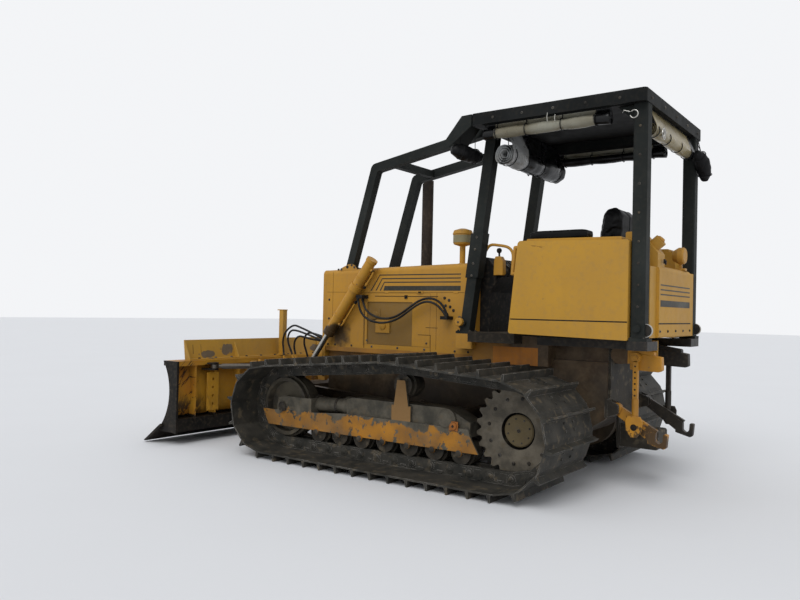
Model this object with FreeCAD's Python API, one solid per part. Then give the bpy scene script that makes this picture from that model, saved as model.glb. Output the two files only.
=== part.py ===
"""Crawler bulldozer with a six-way blade, a canopy with limb risers and a three-point hitch.

Millimetres. +X points forward to the blade, +Y to the machine's left, +Z up.
Sizes below are taken about the track centre, half-way between sprocket and idler.
On export every piece moves back by X_MID, so that the origin is on the ground
under the middle of the whole length.
"""
import FreeCAD, Part
import math
import os

os.makedirs("parts", exist_ok=True)
V = FreeCAD.Vector

# Crawler track
PITCH = 171.5            # chain pitch
SHOE_COUNT = 38          # shoes in one track
SPROCKET_LINKS = 12      # links in one full turn of the sprocket
IDLER_R = 310.0          # pitch line radius at the idler
TRACK_IN = 505.0         # centre plane to the shoes' inner ends
SHOE_W = 800.0           # shoe width
TRACK_Y = TRACK_IN + SHOE_W / 2
LIFT_Y = TRACK_IN - 43   # plane of the lift cylinders
ARM_Y1 = LIFT_Y + 10     # push arms
ARM_Y0 = ARM_Y1 - 70
HOOD_HALF_W = ARM_Y0 - 7
PLATE_IN = 50.0          # pitch line to the shoe plate
PLATE_T = 12.0           # shoe plate thickness
GROUSER_H = 50.0         # grouser height over the plate
GROUSER_T = 14.0         # grouser thickness at its tip
SHOE_GAP = 4.0           # half the gap between two shoes
RAIL_IN = 45.0           # pitch line to the rail that rollers run on
LINK_IN = 55.0           # chain centre to the inner face of a link
LINK_OUT = 95.0          # chain centre to the outer face of a link
BUSH_R = 28.0            # chain bushing
IDLER_FLANGE = 18.0      # height of the idler's centre flange
CARRIER_X = -150.0       # carrier roller
CARRIER_DROP = 6.0       # carrier roller under the smooth path, as the links cut the corner
CARRIER_LIFT = 64.0      # rise of the top run over the sprocket's top
ROLLER_R = 85.0          # track and carrier rollers
ROLLER_COUNT = 7
ROLLER_FIRST_X = 725.0
ROLLER_STEP = 236.0
SPROCKET_T = 50.0        # thickness of the toothed ring
TEETH = 24

# Track frame
FRAME_X0 = -765.0
FRAME_X1 = 420.0
FRAME_HALF_W = 88.0
FRAME_Z0 = 362.0
FRAME_Z1 = 560.0
GUARD_IN = 101.0         # chain centre to the inner face of the roller guards
GUARD_T = 16.0
ADJUSTER_R = 62.0
PIVOT_X = -567.0         # pivot shaft of the track frames
PIVOT_Z = 440.0
PIVOT_R = 55.0

# Hull, the welded case between the tracks
HULL_HALF_W = HOOD_HALF_W - 50
HULL_FRONT_X = 1195.0
BELLY_Z = 360.0
HULL_TOP_Z = 935.0
SKIN = 30.0              # hull plate
CHASSIS_HALF_W = HOOD_HALF_W + 45
DECK_Z = 1110.0          # underside of the operator's deck
DECK_T = 20.0
DRIVE_R = 232.0          # final drive case
DRIVE_END = 135.0        # its outer face, inside the chain centre
SEAT_GAP = 0.3           # between two pieces that are bolted together
SILL_H = 40.0            # sills that the hood stands on
HOOD_Z0 = HULL_TOP_Z + SEAT_GAP

# Hood
HOOD_REAR_X = -450.0
CHASSIS_FRONT_X = HOOD_REAR_X - SEAT_GAP
HOOD_FRONT_X = 1205.0
HOOD_TOP_FRONT_Z = 1662.0
HOOD_TOP_REAR_Z = 1705.0
HOOD_T = 20.0
HOOD_EDGE_R = 45.0
GRILLE_T = 38.0
GRILLE_BARS = 9
PANEL_X0 = 5.0           # lift-off side panel
PANEL_X1 = 735.0
PANEL_Z0 = 975.0
PANEL_Z1 = 1445.0

# Operator's place
FENDER_Y0 = HOOD_HALF_W + 25
FENDER_Y1 = FENDER_Y0 + 280
FENDER_FRONT_X = -905.0
FENDER_REAR_X = -1822.0
FENDER_TOP_Z = 1835.0
FENDER_SLANT = 70.0      # the front edge leans back by this much
TANK_X0 = -1950.0
TANK_X1 = -1640.0
TANK_HALF_W = FENDER_Y0 - 5
TANK_TOP_Z = 1650.0
SEAT_X = -1150.0
SEAT_Z = 1500.0
SEAT_HALF_W = 240.0

# Canopy
POST = 100.0
REAR_POST_X = -1880.0
REAR_POST_Y = FENDER_Y0 + 200
FRONT_POST_Y = HOOD_HALF_W + 55
FRONT_POST_FOOT_X = -400.0
FRONT_POST_TOP_X = -590.0
FRONT_POST = 90.0
ROOF_X0 = -1935.0
ROOF_X1 = -560.0
ROOF_HALF_W = REAR_POST_Y + 103
ROOF_TOP_Z = 2850.0
ROOF_RIM = 92.0
SWEEP = 80.0
SWEEP_Y = HOOD_HALF_W - 65
SWEEP_FOOT_X = 950.0
SWEEP_CORNER_X = 672.0
SWEEP_CORNER_Z = ROOF_TOP_Z - 250
SWEEP_END_Z = ROOF_TOP_Z - 80
STACK_X = 320.0
STACK_R = 52.0
STACK_TOP_Z = 2520.0
CLEANER_X = -190.0
CLEANER_Y = 200.0
CLEANER_R = 84.0

# Blade and its frame
ARM_PIVOT_X = 100.0      # push arm trunnions
ARM_PIVOT_Z = 430.0
ARM_H = 120.0
TRUNNION_R = 45.0
BEAM_X0 = 1400.0         # cross beam of the push frame
BEAM_X1 = 1520.0
NOSE_Z = 480.0           # axis of the tilt shaft
TILT_SHAFT_R = 70.0
KING_X = 2000.0          # kingpin that the blade angles about
KING_R = 40.0
BLADE_HALF_W = 1420.0
BLADE_BACK_X = 2095.0    # rear edge of the end plates
BLADE_BEAM_X = BLADE_BACK_X + 22   # back of the top beam
BLADE_DEEP_X = 2203.0    # deepest point of the curve
BLADE_TOP_X = 2300.0
BLADE_TOP_Z = 775.0
BLADE_LOW_X = 2330.0
BLADE_LOW_Z = 160.0
BLADE_MID_Z = 470.0
BLADE_SKIN = 16.0
EDGE_X = 2530.0          # tip of the cutting edge
EDGE_Z = 12.0
EDGE_T = 22.0
END_BIT_OUT = 30.0       # the end bits stand out this far past the end plates
EXT_H = 190.0            # bolted-on top plate
EXT_HALF_W = BLADE_HALF_W - 190
MAST = 58.0              # square mast on the middle of the blade
MAST_TOP_Z = 1274.0

# Cylinders
BARREL_R = 48.0
ROD_R = 25.0
BORE_GAP = 0.05          # rod to gland, radial
TRUNNION_STUB_R = 24.0
LIFT_TOP = V(790.0, 0, 1490.0)
LIFT_EYE = V(1480.0, 0, 560.0)
LIFT_BACK = 320.0        # barrel behind its trunnion
LIFT_FRONT = 540.0       # barrel ahead of its trunnion
LIFT_ROD = 1000.0        # rod from piston to eye
ANGLE_ROOT = V(1560.0, 285.0, 715.0)
ANGLE_EYE = V(2075.0, BLADE_HALF_W - 420, 715.0)
BOLT_Y = ANGLE_EYE.y - 25
EYE_POCKET_R = 94.0      # room for the eye between the blade's ears, over the whole swing
BLADE_EAR = 14.0         # thickness of those ears
EAR_RIB_Y = ANGLE_EYE.y - 60
RIB_T = 18.0
ANGLE_BARREL = 540.0     # pin to gland
ANGLE_BARREL_R = 43.0
ANGLE_ROD_START = 316.0  # pin to piston at rest
TILT_X = 1600.0
TILT_Y = -330.0
TILT_LOW_Z = 300.0
TILT_HIGH_Z = 544.0
TILT_BARREL_R = 36.0
TILT_ROD_R = 18.0
TILT_EYE_R = 28.0
EYE_HALF = 18.0          # half the width of a cylinder eye
EYE_GAP = 4.0            # eye to clevis ear, each side
EAR = 8.0                # clevis ear thickness at the lift cylinders
NECK = 66.0              # length of a rod's slim neck behind its eye
NECK_R = 17.0

# Hoses
HOSE_R = 10.0
FERRULE_R = 13.0
HOSE_BENDS = []
SIDE_UPPER = (           # x, y, z along the hood's left side
    (708, 452, 1370), (690, 456, 1318), (640, 464, 1268), (560, 470, 1232), (460, 474, 1212),
    (350, 474, 1222),
    (250, 472, 1268), (160, 468, 1330), (70, 462, 1385), (-30, 456, 1405), (-115, 450, 1378),
    (-168, 446, 1325),
    (-190, 444, 1275))
SIDE_LOWER = (
    (740, 482, 1370), (724, 484, 1304), (680, 488, 1240), (600, 492, 1196), (490, 494, 1174),
    (370, 494, 1184),
    (262, 489, 1226), (164, 486, 1292), (70, 482, 1352), (-20, 478, 1376), (-102, 474, 1352),
    (-158, 472, 1305),
    (-186, 471, 1275))
FRONT_ROUTES = (         # x, y, z from the radiator guard to the manifold
    ((1268.3, 296, 985), (1330, 293, 1000), (1440, 275, 1030), (1580, 245, 1068), (1700, 215, 1094),
     (1810, 195, 1120), (1912, 170, 1083), (2005, 142, 1020), (2042, 126, 930), (2030, 121, 850),
     (2023, 120, 790)),
    ((1268.3, 326, 975), (1330, 322, 988), (1430, 304, 1008), (1560, 262, 1030), (1680, 222, 1048),
     (1778, 196, 1062), (1862, 174, 1063), (1913, 160, 1036), (1946, 148, 988), (1951, 138, 930),
     (1926, 127, 868),
     (1902, 121, 806)),
    ((1268.3, 266, 965), (1330, 262, 969), (1430, 250, 977), (1560, 226, 986), (1680, 196, 1001),
     (1762, 172, 1006), (1818, 160, 979), (1852, 149, 930), (1860, 138, 871), (1850, 128, 812)),
    ((1268.3, 236, 990), (1330, 234, 1004), (1430, 224, 1024), (1540, 206, 1042), (1610, 190, 1046),
     (1665, 178, 1019), (1699, 165, 971), (1706, 150, 912), (1692, 135, 853), (1680, 125, 795)),
)

# Rear hitch
HITCH_Y = HULL_HALF_W + 5
ROCK_Z = 1000.0
ROCK_R = 48.0
LOWER_Z = 600.0
HOOK_Z = 400.0
HITCH_PLATE = 20.0
DRAWPIN_R = 21.0         # drawbar pin bore

SPROCKET_R = PITCH / (2 * math.sin(math.pi / SPROCKET_LINKS))
IDLER_TREAD_R = math.sqrt(IDLER_R ** 2 - PITCH ** 2 / 4) - RAIL_IN - 0.5
GROUSER_TIP = PLATE_IN + PLATE_T + GROUSER_H
SPROCKET_Z = SPROCKET_R + GROUSER_TIP
IDLER_Z = IDLER_R + GROUSER_TIP
ROLLER_Z = GROUSER_TIP + RAIL_IN + ROLLER_R
CARRIER_Z = SPROCKET_Z + SPROCKET_R + CARRIER_LIFT - RAIL_IN - ROLLER_R


# Plain shapes

def box(x0, x1, y0, y1, z0, z1):
    return Part.makeBox(x1 - x0, y1 - y0, z1 - z0, V(x0, y0, z0))


def rounded_wire(points, radii):
    """Closed wire through points, each corner with its own radius (0 is sharp)."""
    count = len(points)
    starts = []
    ends = []
    mids = []
    for i in range(count):
        here = points[i]
        r = radii[i] if isinstance(radii, (list, tuple)) else radii
        before = (points[i - 1] - here).normalize()
        after = (points[(i + 1) % count] - here).normalize()
        if r <= 0:
            starts.append(here)
            ends.append(here)
            mids.append(None)
            continue
        half = before.getAngle(after) / 2
        cut = r / math.tan(half)
        middle = (before + after).normalize()
        starts.append(here + before * cut)
        ends.append(here + after * cut)
        mids.append(here + middle * (r / math.sin(half) - r))
    edges = []
    for i in range(count):
        if mids[i] is not None:
            edges.append(Part.Arc(starts[i], mids[i], ends[i]).toShape())
        following = starts[(i + 1) % count]
        if ends[i].distanceToPoint(following) > 1e-6:
            edges.append(Part.LineSegment(ends[i], following).toShape())
    return Part.Wire(edges)


def prism(points, direction, radii=0):
    return Part.Face(rounded_wire(points, radii)).extrude(direction)


def prism_y(outline, y0, y1, radii=0):
    """Outline of (x, z) pairs, as thick as from y0 to y1."""
    return prism([V(x, y0, z) for x, z in outline], V(0, y1 - y0, 0), radii)


def prism_x(outline, x0, x1, radii=0):
    """Outline of (y, z) pairs, from x0 to x1."""
    return prism([V(x0, y, z) for y, z in outline], V(x1 - x0, 0, 0), radii)


def prism_z(outline, z0, z1, radii=0):
    """Outline of (x, y) pairs, from z0 to z1."""
    return prism([V(x, y, z0) for x, y in outline], V(0, 0, z1 - z0), radii)


def rod(start, end, radius):
    way = end - start
    return Part.makeCylinder(radius, way.Length, start, way)


def across(x, z, y0, y1, radius):
    """Cylinder along Y."""
    return rod(V(x, y0, z), V(x, y1, z), radius)


def upright(x, y, z0, z1, radius):
    return rod(V(x, y, z0), V(x, y, z1), radius)


def fuse(shapes):
    whole = shapes[0]
    if len(shapes) > 1:
        whole = whole.multiFuse(shapes[1:])
    return whole.removeSplitter()


def other_side(shape):
    return shape.mirror(V(0, 0, 0), V(0, 1, 0))


def pair(shape):
    return Part.makeCompound([shape, other_side(shape)])


def turned(outline, x, y, z, way):
    """Solid of revolution from (radius, height) pairs, about the line from (x, y, z) along way."""
    points = [V(r, 0, h) for r, h in outline]
    face = Part.Face(Part.makePolygon(points + [points[0]]))
    solid = face.revolve(V(0, 0, 0), V(0, 0, 1), 360)
    solid.Placement = FreeCAD.Placement(V(x, y, z), FreeCAD.Rotation(V(0, 0, 1), way))
    return solid


# The chain's path: a belt round sprocket, carrier roller and idler

def belt(circles):
    """Lines and arcs of a belt round (x, z, r) circles, which run rearward along the ground."""
    pieces = []
    tangents = []
    count = len(circles)
    for i in range(count):
        x0, z0, r0 = circles[i]
        x1, z1, r1 = circles[(i + 1) % count]
        gap = math.hypot(x1 - x0, z1 - z0)
        angle = math.atan2(z1 - z0, x1 - x0) + math.asin((r1 - r0) / gap)
        normal = (-math.sin(angle), math.cos(angle))
        tangents.append((
            (x0 + normal[0] * r0, z0 + normal[1] * r0),
            (x1 + normal[0] * r1, z1 + normal[1] * r1),
        ))
    for i in range(count):
        start, end = tangents[i]
        pieces.append(("line", start, end, math.hypot(end[0] - start[0], end[1] - start[1])))
        x, z, r = circles[(i + 1) % count]
        following = tangents[(i + 1) % count][0]
        a0 = math.atan2(end[1] - z, end[0] - x)
        a1 = math.atan2(following[1] - z, following[0] - x)
        while a1 > a0:
            a1 -= 2 * math.pi
        pieces.append(("arc", (x, z, r), (a0, a1), r * (a0 - a1)))
    return pieces


def point_at(pieces, distance):
    for kind, first, second, length in pieces:
        if distance <= length:
            share = distance / length
            if kind == "line":
                return V(first[0] + (second[0] - first[0]) * share, 0,
                         first[1] + (second[1] - first[1]) * share)
            angle = second[0] + (second[1] - second[0]) * share
            return V(first[0] + first[2] * math.cos(angle), 0, first[1] + first[2] * math.sin(angle))
        distance -= length
    return point_at(pieces, distance)


def chain_circles(base):
    """Order of travel: idler, sprocket along the ground, then back over the carrier roller."""
    return [
        (-base / 2, SPROCKET_Z, SPROCKET_R),
        (CARRIER_X, CARRIER_Z, ROLLER_R + RAIL_IN),
        (base / 2, IDLER_Z, IDLER_R),
    ]


def solve_base():
    """Distance from sprocket to idler at which SHOE_COUNT links close the chain."""
    low = 1500.0
    high = 4000.0
    for _ in range(60):
        middle = (low + high) / 2
        if sum(piece[3] for piece in belt(chain_circles(middle))) < SHOE_COUNT * PITCH:
            low = middle
        else:
            high = middle
    return (low + high) / 2


BASE = solve_base()
SPROCKET_X = -BASE / 2
IDLER_X = BASE / 2

# Places behind the final drives, from the sprockets back
HULL_REAR_X = round(SPROCKET_X) - 436.0
ROCK_X = HULL_REAR_X - 102   # rockshaft
ARM_END_X = HULL_REAR_X - 350
LINK_X = HULL_REAR_X - 230   # lift rods
LOWER_X = HULL_REAR_X - 74   # front pins of the lower links
HOOK_X = HULL_REAR_X - 450   # claws of the lower links
DRAWPIN_X = HULL_REAR_X - 260


def chain_pins():
    pieces = belt(chain_circles(BASE))
    return [point_at(pieces, k * PITCH) for k in range(SHOE_COUNT)]


def link_frames():
    """For each link its first pin, last pin, way along and way out."""
    pins = chain_pins()
    frames = []
    for k in range(SHOE_COUNT):
        a = pins[k]
        b = pins[(k + 1) % SHOE_COUNT]
        along = (b - a).normalize()
        frames.append((a, b, along, V(-along.z, 0, along.x)))
    return frames


def ring(frames, offset):
    """Closed polygon at one offset from the pitch line."""
    points = []
    for k in range(len(frames)):
        before = frames[k - 1][3]
        out = frames[k][3]
        middle = (before + out).normalize()
        points.append(frames[k][0] + middle * (offset / middle.dot(out)))
    return points


def loop_solid(outer, inner, y0, y1):
    def face(points):
        moved = [p + V(0, y0, 0) for p in points]
        return Part.Face(Part.makePolygon(moved + [moved[0]]))
    return face(outer).cut(face(inner)).extrude(V(0, y1 - y0, 0))


def track():
    """One closed loop: shoe plates with grousers, two strands of links and their bushings."""
    frames = link_frames()
    notch = ring(frames, PLATE_IN + SHOE_GAP)
    outer = []
    for k, (a, b, along, out) in enumerate(frames):
        plate = PLATE_IN + PLATE_T
        tip = GROUSER_TIP
        outer.append(notch[k])
        outer.append(a + along * SHOE_GAP + out * plate)
        outer.append(b - along * (SHOE_GAP + 2 * GROUSER_T) + out * plate)
        outer.append(b - along * (SHOE_GAP + GROUSER_T) + out * tip)
        outer.append(b - along * SHOE_GAP + out * tip)
        outer.append(b - along * SHOE_GAP + out * plate)
    shoes = loop_solid(outer, ring(frames, PLATE_IN), -SHOE_W / 2, SHOE_W / 2)
    strand_outer = ring(frames, PLATE_IN + SHOE_GAP / 2)
    strand_inner = ring(frames, -RAIL_IN)
    strands = [loop_solid(strand_outer, strand_inner, *side)
               for side in ((-LINK_OUT, -LINK_IN), (LINK_IN, LINK_OUT))]
    whole = fuse([shoes] + strands)
    whole.translate(V(0, TRACK_Y, 0))
    return whole


# Undercarriage

def sprocket():
    """Toothed ring on a dished hub, whose cap stands in the dish."""
    root = SPROCKET_R - BUSH_R
    tip = SPROCKET_R + 10
    outline = []
    for k in range(TEETH):
        for share, radius in ((0.1, root), (0.38, tip), (0.62, tip), (0.9, root)):
            angle = 2 * math.pi * (k + share) / TEETH
            outline.append((SPROCKET_X + radius * math.cos(angle), SPROCKET_Z + radius * math.sin(angle)))
    ring_plate = prism_y(outline, TRACK_Y - SPROCKET_T / 2, TRACK_Y + SPROCKET_T / 2)
    recess = across(SPROCKET_X, SPROCKET_Z, TRACK_Y - 60, TRACK_Y + 60, 132)
    back = -DRIVE_END
    dish = turned([(0, back), (150, back), (170, back + 40), (170, -20), (132, -20), (132, back + 50),
                   (118, back + 50), (118, 6), (108, 14), (0, 14)],
                  SPROCKET_X, TRACK_Y, SPROCKET_Z, V(0, 1, 0))
    return fuse([ring_plate.cut(recess), dish])


def idler():
    """Rim with a centre flange, dished web and hub."""
    rim = IDLER_TREAD_R
    half = LINK_OUT - 3
    flange = LINK_IN - 5
    outline = [
        (48, -half), (95, -half), (95, -35), (rim - 40, -35), (rim - 30, -half), (rim, -half),
        (rim, -flange), (rim + IDLER_FLANGE, -flange), (rim + IDLER_FLANGE, flange), (rim, flange),
        (rim, half), (rim - 30, half), (rim - 40, 35), (95, 35), (95, half), (48, half),
    ]
    return turned(outline, IDLER_X, TRACK_Y, IDLER_Z, V(0, 1, 0))


def roller(x, z):
    half = LINK_OUT - 3
    flange = LINK_IN - 5
    outline = [(0, -half - 6), (30, -half - 6), (30, -half), (ROLLER_R, -half), (ROLLER_R, -flange),
               (ROLLER_R + 16, -flange), (ROLLER_R + 16, flange), (ROLLER_R, flange), (ROLLER_R, half),
               (30, half), (30, half + 6), (0, half + 6)]
    return turned(outline, x, TRACK_Y, z, V(0, 1, 0))


def roller_places():
    return [ROLLER_FIRST_X - k * ROLLER_STEP for k in range(ROLLER_COUNT)]


def rollers():
    return [roller(x, ROLLER_Z) for x in roller_places()] + [roller(CARRIER_X, CARRIER_Z - CARRIER_DROP)]


def track_frame():
    """Girder over the rollers, roller guards, recoil cylinder, idler yoke and carrier bracket."""
    y0 = TRACK_Y - FRAME_HALF_W
    y1 = TRACK_Y + FRAME_HALF_W
    girder = prism_y([(FRAME_X0, FRAME_Z0), (FRAME_X1, FRAME_Z0), (FRAME_X1, FRAME_Z1 - 20),
                      (FRAME_X1 - 60, FRAME_Z1), (FRAME_X0 + 190, FRAME_Z1), (FRAME_X0, FRAME_Z1 - 90)],
                     y0, y1)
    adjuster_end = IDLER_X - IDLER_TREAD_R - IDLER_FLANGE - 30
    axis_z = IDLER_Z + 34
    pieces = [
        girder,
        rod(V(FRAME_X1 - 20, TRACK_Y, axis_z + 20), V(adjuster_end, TRACK_Y, axis_z + 4), ADJUSTER_R),
        rod(V(FRAME_X1 - 20, TRACK_Y, axis_z + 20), V(FRAME_X1 + 60, TRACK_Y, axis_z + 18.5),
            ADJUSTER_R + 16),
    ]
    fork = box(adjuster_end - 30, adjuster_end + 14, TRACK_Y - GUARD_IN - GUARD_T,
               TRACK_Y + GUARD_IN + GUARD_T, axis_z - 60, axis_z + 60)
    pieces.append(fork)
    guard = [(FRAME_X0 - 85, 252), (IDLER_X + 180, 252), (IDLER_X + 252, 385), (IDLER_X - 150, 385),
             (FRAME_X1, 425), (FRAME_X0, 425), (FRAME_X0 - 15, 372)]
    cheek = [(adjuster_end - 30, 350), (IDLER_X + 60, 350), (IDLER_X + 75, 385),
             (IDLER_X + 60, axis_z + 40),
             (IDLER_X - 70, axis_z + 58), (adjuster_end - 30, axis_z + 58)]
    for side in (-1, 1):
        inner = TRACK_Y + side * GUARD_IN
        outer = TRACK_Y + side * (GUARD_IN + GUARD_T)
        low = min(inner, outer)
        high = max(inner, outer)
        pieces.append(prism_y(guard, low, high))
        pieces.append(prism_y(cheek, low, high))
        pieces.append(across(IDLER_X, IDLER_Z, TRACK_Y + side * LINK_OUT, TRACK_Y + side * 132, 42))
        pieces.append(box(FRAME_X0 + 5, FRAME_X1 - 5, min(TRACK_Y + side * 80, inner),
                          max(TRACK_Y + side * 80, inner), FRAME_Z0, 425))
        for x in roller_places():
            pieces.append(across(x, ROLLER_Z, inner, TRACK_Y + side * (GUARD_IN + GUARD_T + 10), 26))
    bracket_y0 = TRACK_Y + FRAME_HALF_W
    bracket_y1 = TRACK_Y + GUARD_IN + GUARD_T
    bracket = prism_y([(CARRIER_X - 95, 400), (CARRIER_X + 88, 400), (CARRIER_X + 38, CARRIER_Z + 35),
                       (CARRIER_X - 38, CARRIER_Z + 35)], bracket_y0 + 10.5, bracket_y1)
    foot = box(CARRIER_X - 95, CARRIER_X + 88, bracket_y0 - 1, bracket_y1, 425, 545)
    pivot_cap = turned([(0, 0), (PIVOT_R + 26, 0), (PIVOT_R + 26, 24), (PIVOT_R, 40), (0, 40)],
                       PIVOT_X, y1 - 2, PIVOT_Z + 40, V(0, 1, 0))
    pieces += [bracket, foot, pivot_cap]
    whole = fuse(pieces)
    whole = whole.cut(across(PIVOT_X, PIVOT_Z + 40, y0 - 5, y1 - 30, PIVOT_R + 0.3))
    return whole


def hull():
    """Welded case between the tracks, open on top for the engine, with the final drives."""
    outline = [(HULL_REAR_X, 520), (HULL_REAR_X + 240, BELLY_Z), (1010, BELLY_Z), (HULL_FRONT_X, 520),
               (HULL_FRONT_X, HULL_TOP_Z), (HULL_REAR_X, HULL_TOP_Z)]
    case = prism_y(outline, -HULL_HALF_W, HULL_HALF_W, [60, 60, 60, 60, 0, 0])
    bay = box(-200, HULL_FRONT_X - 90, -HULL_HALF_W + SKIN, HULL_HALF_W - SKIN, BELLY_Z + 60,
              HULL_TOP_Z + 10)
    case = case.cut(bay)
    chassis = box(-1120, CHASSIS_FRONT_X, -CHASSIS_HALF_W, CHASSIS_HALF_W, HULL_TOP_Z - 55, DECK_Z)
    case_y = HULL_HALF_W - 45
    rear_case = box(HULL_REAR_X, -1110, -case_y, case_y, HULL_TOP_Z - 10, DECK_Z)
    pieces = [case, chassis, rear_case]
    flange_y = HULL_HALF_W + 60
    drive_y = TRACK_Y - DRIVE_END
    for side in (-1, 1):
        sill_y0 = side * (HULL_HALF_W - 5)
        sill_y1 = side * HOOD_HALF_W
        root = side * (HULL_HALF_W - 20)
        pieces.append(box(CHASSIS_FRONT_X - 5, HULL_FRONT_X, min(sill_y0, sill_y1), max(sill_y0, sill_y1),
                          HULL_TOP_Z - SILL_H, HULL_TOP_Z))
        pieces.append(across(SPROCKET_X, SPROCKET_Z, root, side * (drive_y - 10), DRIVE_R))
        pieces.append(across(SPROCKET_X, SPROCKET_Z, root, side * flange_y, DRIVE_R + 30))
        pieces.append(across(SPROCKET_X, SPROCKET_Z, side * (drive_y - 20), side * (drive_y - 2 * SEAT_GAP),
                             150))
        pieces.append(across(ARM_PIVOT_X, ARM_PIVOT_Z, root, side * (ARM_Y0 - 8), 80))
        pieces.append(across(ARM_PIVOT_X, ARM_PIVOT_Z, root, side * (ARM_Y1 + 6), TRUNNION_R))
    shaft_end = TRACK_Y + FRAME_HALF_W - 34
    pieces.append(across(PIVOT_X, PIVOT_Z + 40, -shaft_end, shaft_end, PIVOT_R))
    return fuse(pieces)


def equalizer():
    """Bar under the hull that carries it on the two track frames."""
    end = TRACK_Y - GUARD_IN - GUARD_T - 0.3
    beam = prism_x([(-end, 290), (-end, 258), (-end + 120, 240), (end - 120, 240), (end, 258), (end, 290),
                    (ARM_Y0 - 20, 298), (ARM_Y0 - 90, 332), (90 - ARM_Y0, 332), (20 - ARM_Y0, 298)], 330,
                    405)
    pad = box(320, 415, -120, 120, 331, BELLY_Z - SEAT_GAP)
    return fuse([beam, pad])


def engine():
    half = HULL_HALF_W - SKIN - 85
    return box(60, 960, -half, half, BELLY_Z + 60.3, HOOD_TOP_FRONT_Z - 120)


# Hood

def hood_top(x):
    share = (x - HOOD_REAR_X) / (HOOD_FRONT_X - HOOD_REAR_X)
    return HOOD_TOP_REAR_Z + (HOOD_TOP_FRONT_Z - HOOD_TOP_REAR_Z) * share


def above_hood(shape):
    """What of the shape lies above the hood's sloping top."""
    x0 = HOOD_REAR_X - 100
    x1 = HOOD_FRONT_X + 100
    below = prism_y([(x0, HOOD_Z0), (x1, HOOD_Z0), (x1, hood_top(x1) + SEAT_GAP),
                     (x0, hood_top(x0) + SEAT_GAP)],
                    -HOOD_HALF_W, HOOD_HALF_W)
    return shape.cut(below)


def hood_section(x, inset):
    half = HOOD_HALF_W - inset
    top = hood_top(x) - inset
    radius = HOOD_EDGE_R - inset
    low = HOOD_Z0 - (1 if inset else 0)
    return rounded_wire([V(x, -half, low), V(x, half, low), V(x, half, top), V(x, -half, top)],
                        [0, 0, radius, radius])


def hood():
    outer = Part.makeLoft([hood_section(HOOD_REAR_X, 0), hood_section(HOOD_FRONT_X, 0)], True, True)
    inner = Part.makeLoft([hood_section(HOOD_REAR_X + HOOD_T, HOOD_T),
                           hood_section(HOOD_FRONT_X + 1, HOOD_T)], True, True)
    shell = outer.cut(inner)
    for side in (-1, 1):
        y0 = side * (HOOD_HALF_W - HOOD_T - 5)
        y1 = side * (HOOD_HALF_W + 5)
        shell = shell.cut(box(PANEL_X0, PANEL_X1, min(y0, y1), max(y0, y1), PANEL_Z0, PANEL_Z1))
        boss = across(LIFT_TOP.x, LIFT_TOP.z, side * (HOOD_HALF_W - 75), side * HOOD_HALF_W, 50)
        shell = shell.fuse(boss)
        shell = shell.cut(across(LIFT_TOP.x, LIFT_TOP.z, side * (HOOD_HALF_W - 80),
                                 side * (HOOD_HALF_W + 5), TRUNNION_STUB_R + BORE_GAP))
    return shell.removeSplitter()


def side_panel():
    """Lift-off panel in the hood side: a frame, a set-back field and a latch plate."""
    gap = 2.0
    y1 = HOOD_HALF_W
    slab = box(PANEL_X0 + gap, PANEL_X1 - gap, y1 - HOOD_T, y1, PANEL_Z0 + gap, PANEL_Z1 - gap)
    low = PANEL_Z0 + 15
    high = PANEL_Z1 - 80
    field = prism_y([(PANEL_X0 + 190, low), (PANEL_X1 - 35, low), (PANEL_X1 - 35, high),
                     (PANEL_X0 + 190, high)], y1 - 9, y1 + 1, 14)
    middle = (PANEL_Z0 + PANEL_Z1) / 2 + 30
    latch = turned([(0, 0), (42, 0), (34, 14), (0, 20)], PANEL_X1 - 120, y1 - 9, middle, V(0, 1, 0))
    plate = box(PANEL_X1 - 180, PANEL_X1 - 60, y1 - 10, y1 - 5, middle - 60, middle + 60)
    lip = box(PANEL_X0 - 13, PANEL_X1 + 13, y1 - HOOD_T - 8, y1 - HOOD_T - SEAT_GAP, PANEL_Z0 - 13,
              PANEL_Z1 + 10)
    web = box(PANEL_X0 + 40, PANEL_X1 - 40, y1 - HOOD_T - 1, y1 - HOOD_T + 1, PANEL_Z0 + 40, PANEL_Z1 - 40)
    return fuse([slab.cut(field), plate, latch, lip, web])


def grille():
    """Radiator guard: a heavy frame with upright bars, and the blank lower plate."""
    x0 = HOOD_FRONT_X + 0.3
    x1 = x0 + GRILLE_T
    half = HOOD_HALF_W
    top = hood_top(HOOD_FRONT_X)
    frame = prism_x([(-half, 640), (half, 640), (half, top), (-half, top)], x0, x1, [20, 20, 45, 45])
    window = prism_x([(-half + 60, 980), (half - 60, 980), (half - 60, top - 70), (-half + 60, top - 70)],
                     x0 - 1, x1 + 1, 25)
    pieces = [frame.cut(window)]
    pitch = (2 * half - 120) / (GRILLE_BARS + 1)
    for k in range(GRILLE_BARS):
        y = -half + 60 + pitch * (k + 1)
        pieces.append(box(x0 + 8, x1 - 6, y - 11, y + 11, 970, top - 60))
    core = box(x0, x0 + 3, -half + 50, half - 50, 970, top - 60)
    pieces.append(core)
    return fuse(pieces)


def exhaust_stack():
    base = hood_top(STACK_X)
    pipe = upright(STACK_X, 0, base - 6, STACK_TOP_Z, STACK_R)
    bore = upright(STACK_X, 0, STACK_TOP_Z - 140, STACK_TOP_Z + 10, STACK_R - 5)
    slope = prism_y([(STACK_X - 80, STACK_TOP_Z - 5), (STACK_X + 80, STACK_TOP_Z - 60),
                     (STACK_X + 80, STACK_TOP_Z + 80), (STACK_X - 80, STACK_TOP_Z + 80)], -90, 90)
    collar = upright(STACK_X, 0, base - 6, base + 26, STACK_R + 24)
    return above_hood(fuse([pipe, collar]).cut(bore).cut(slope))


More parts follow.
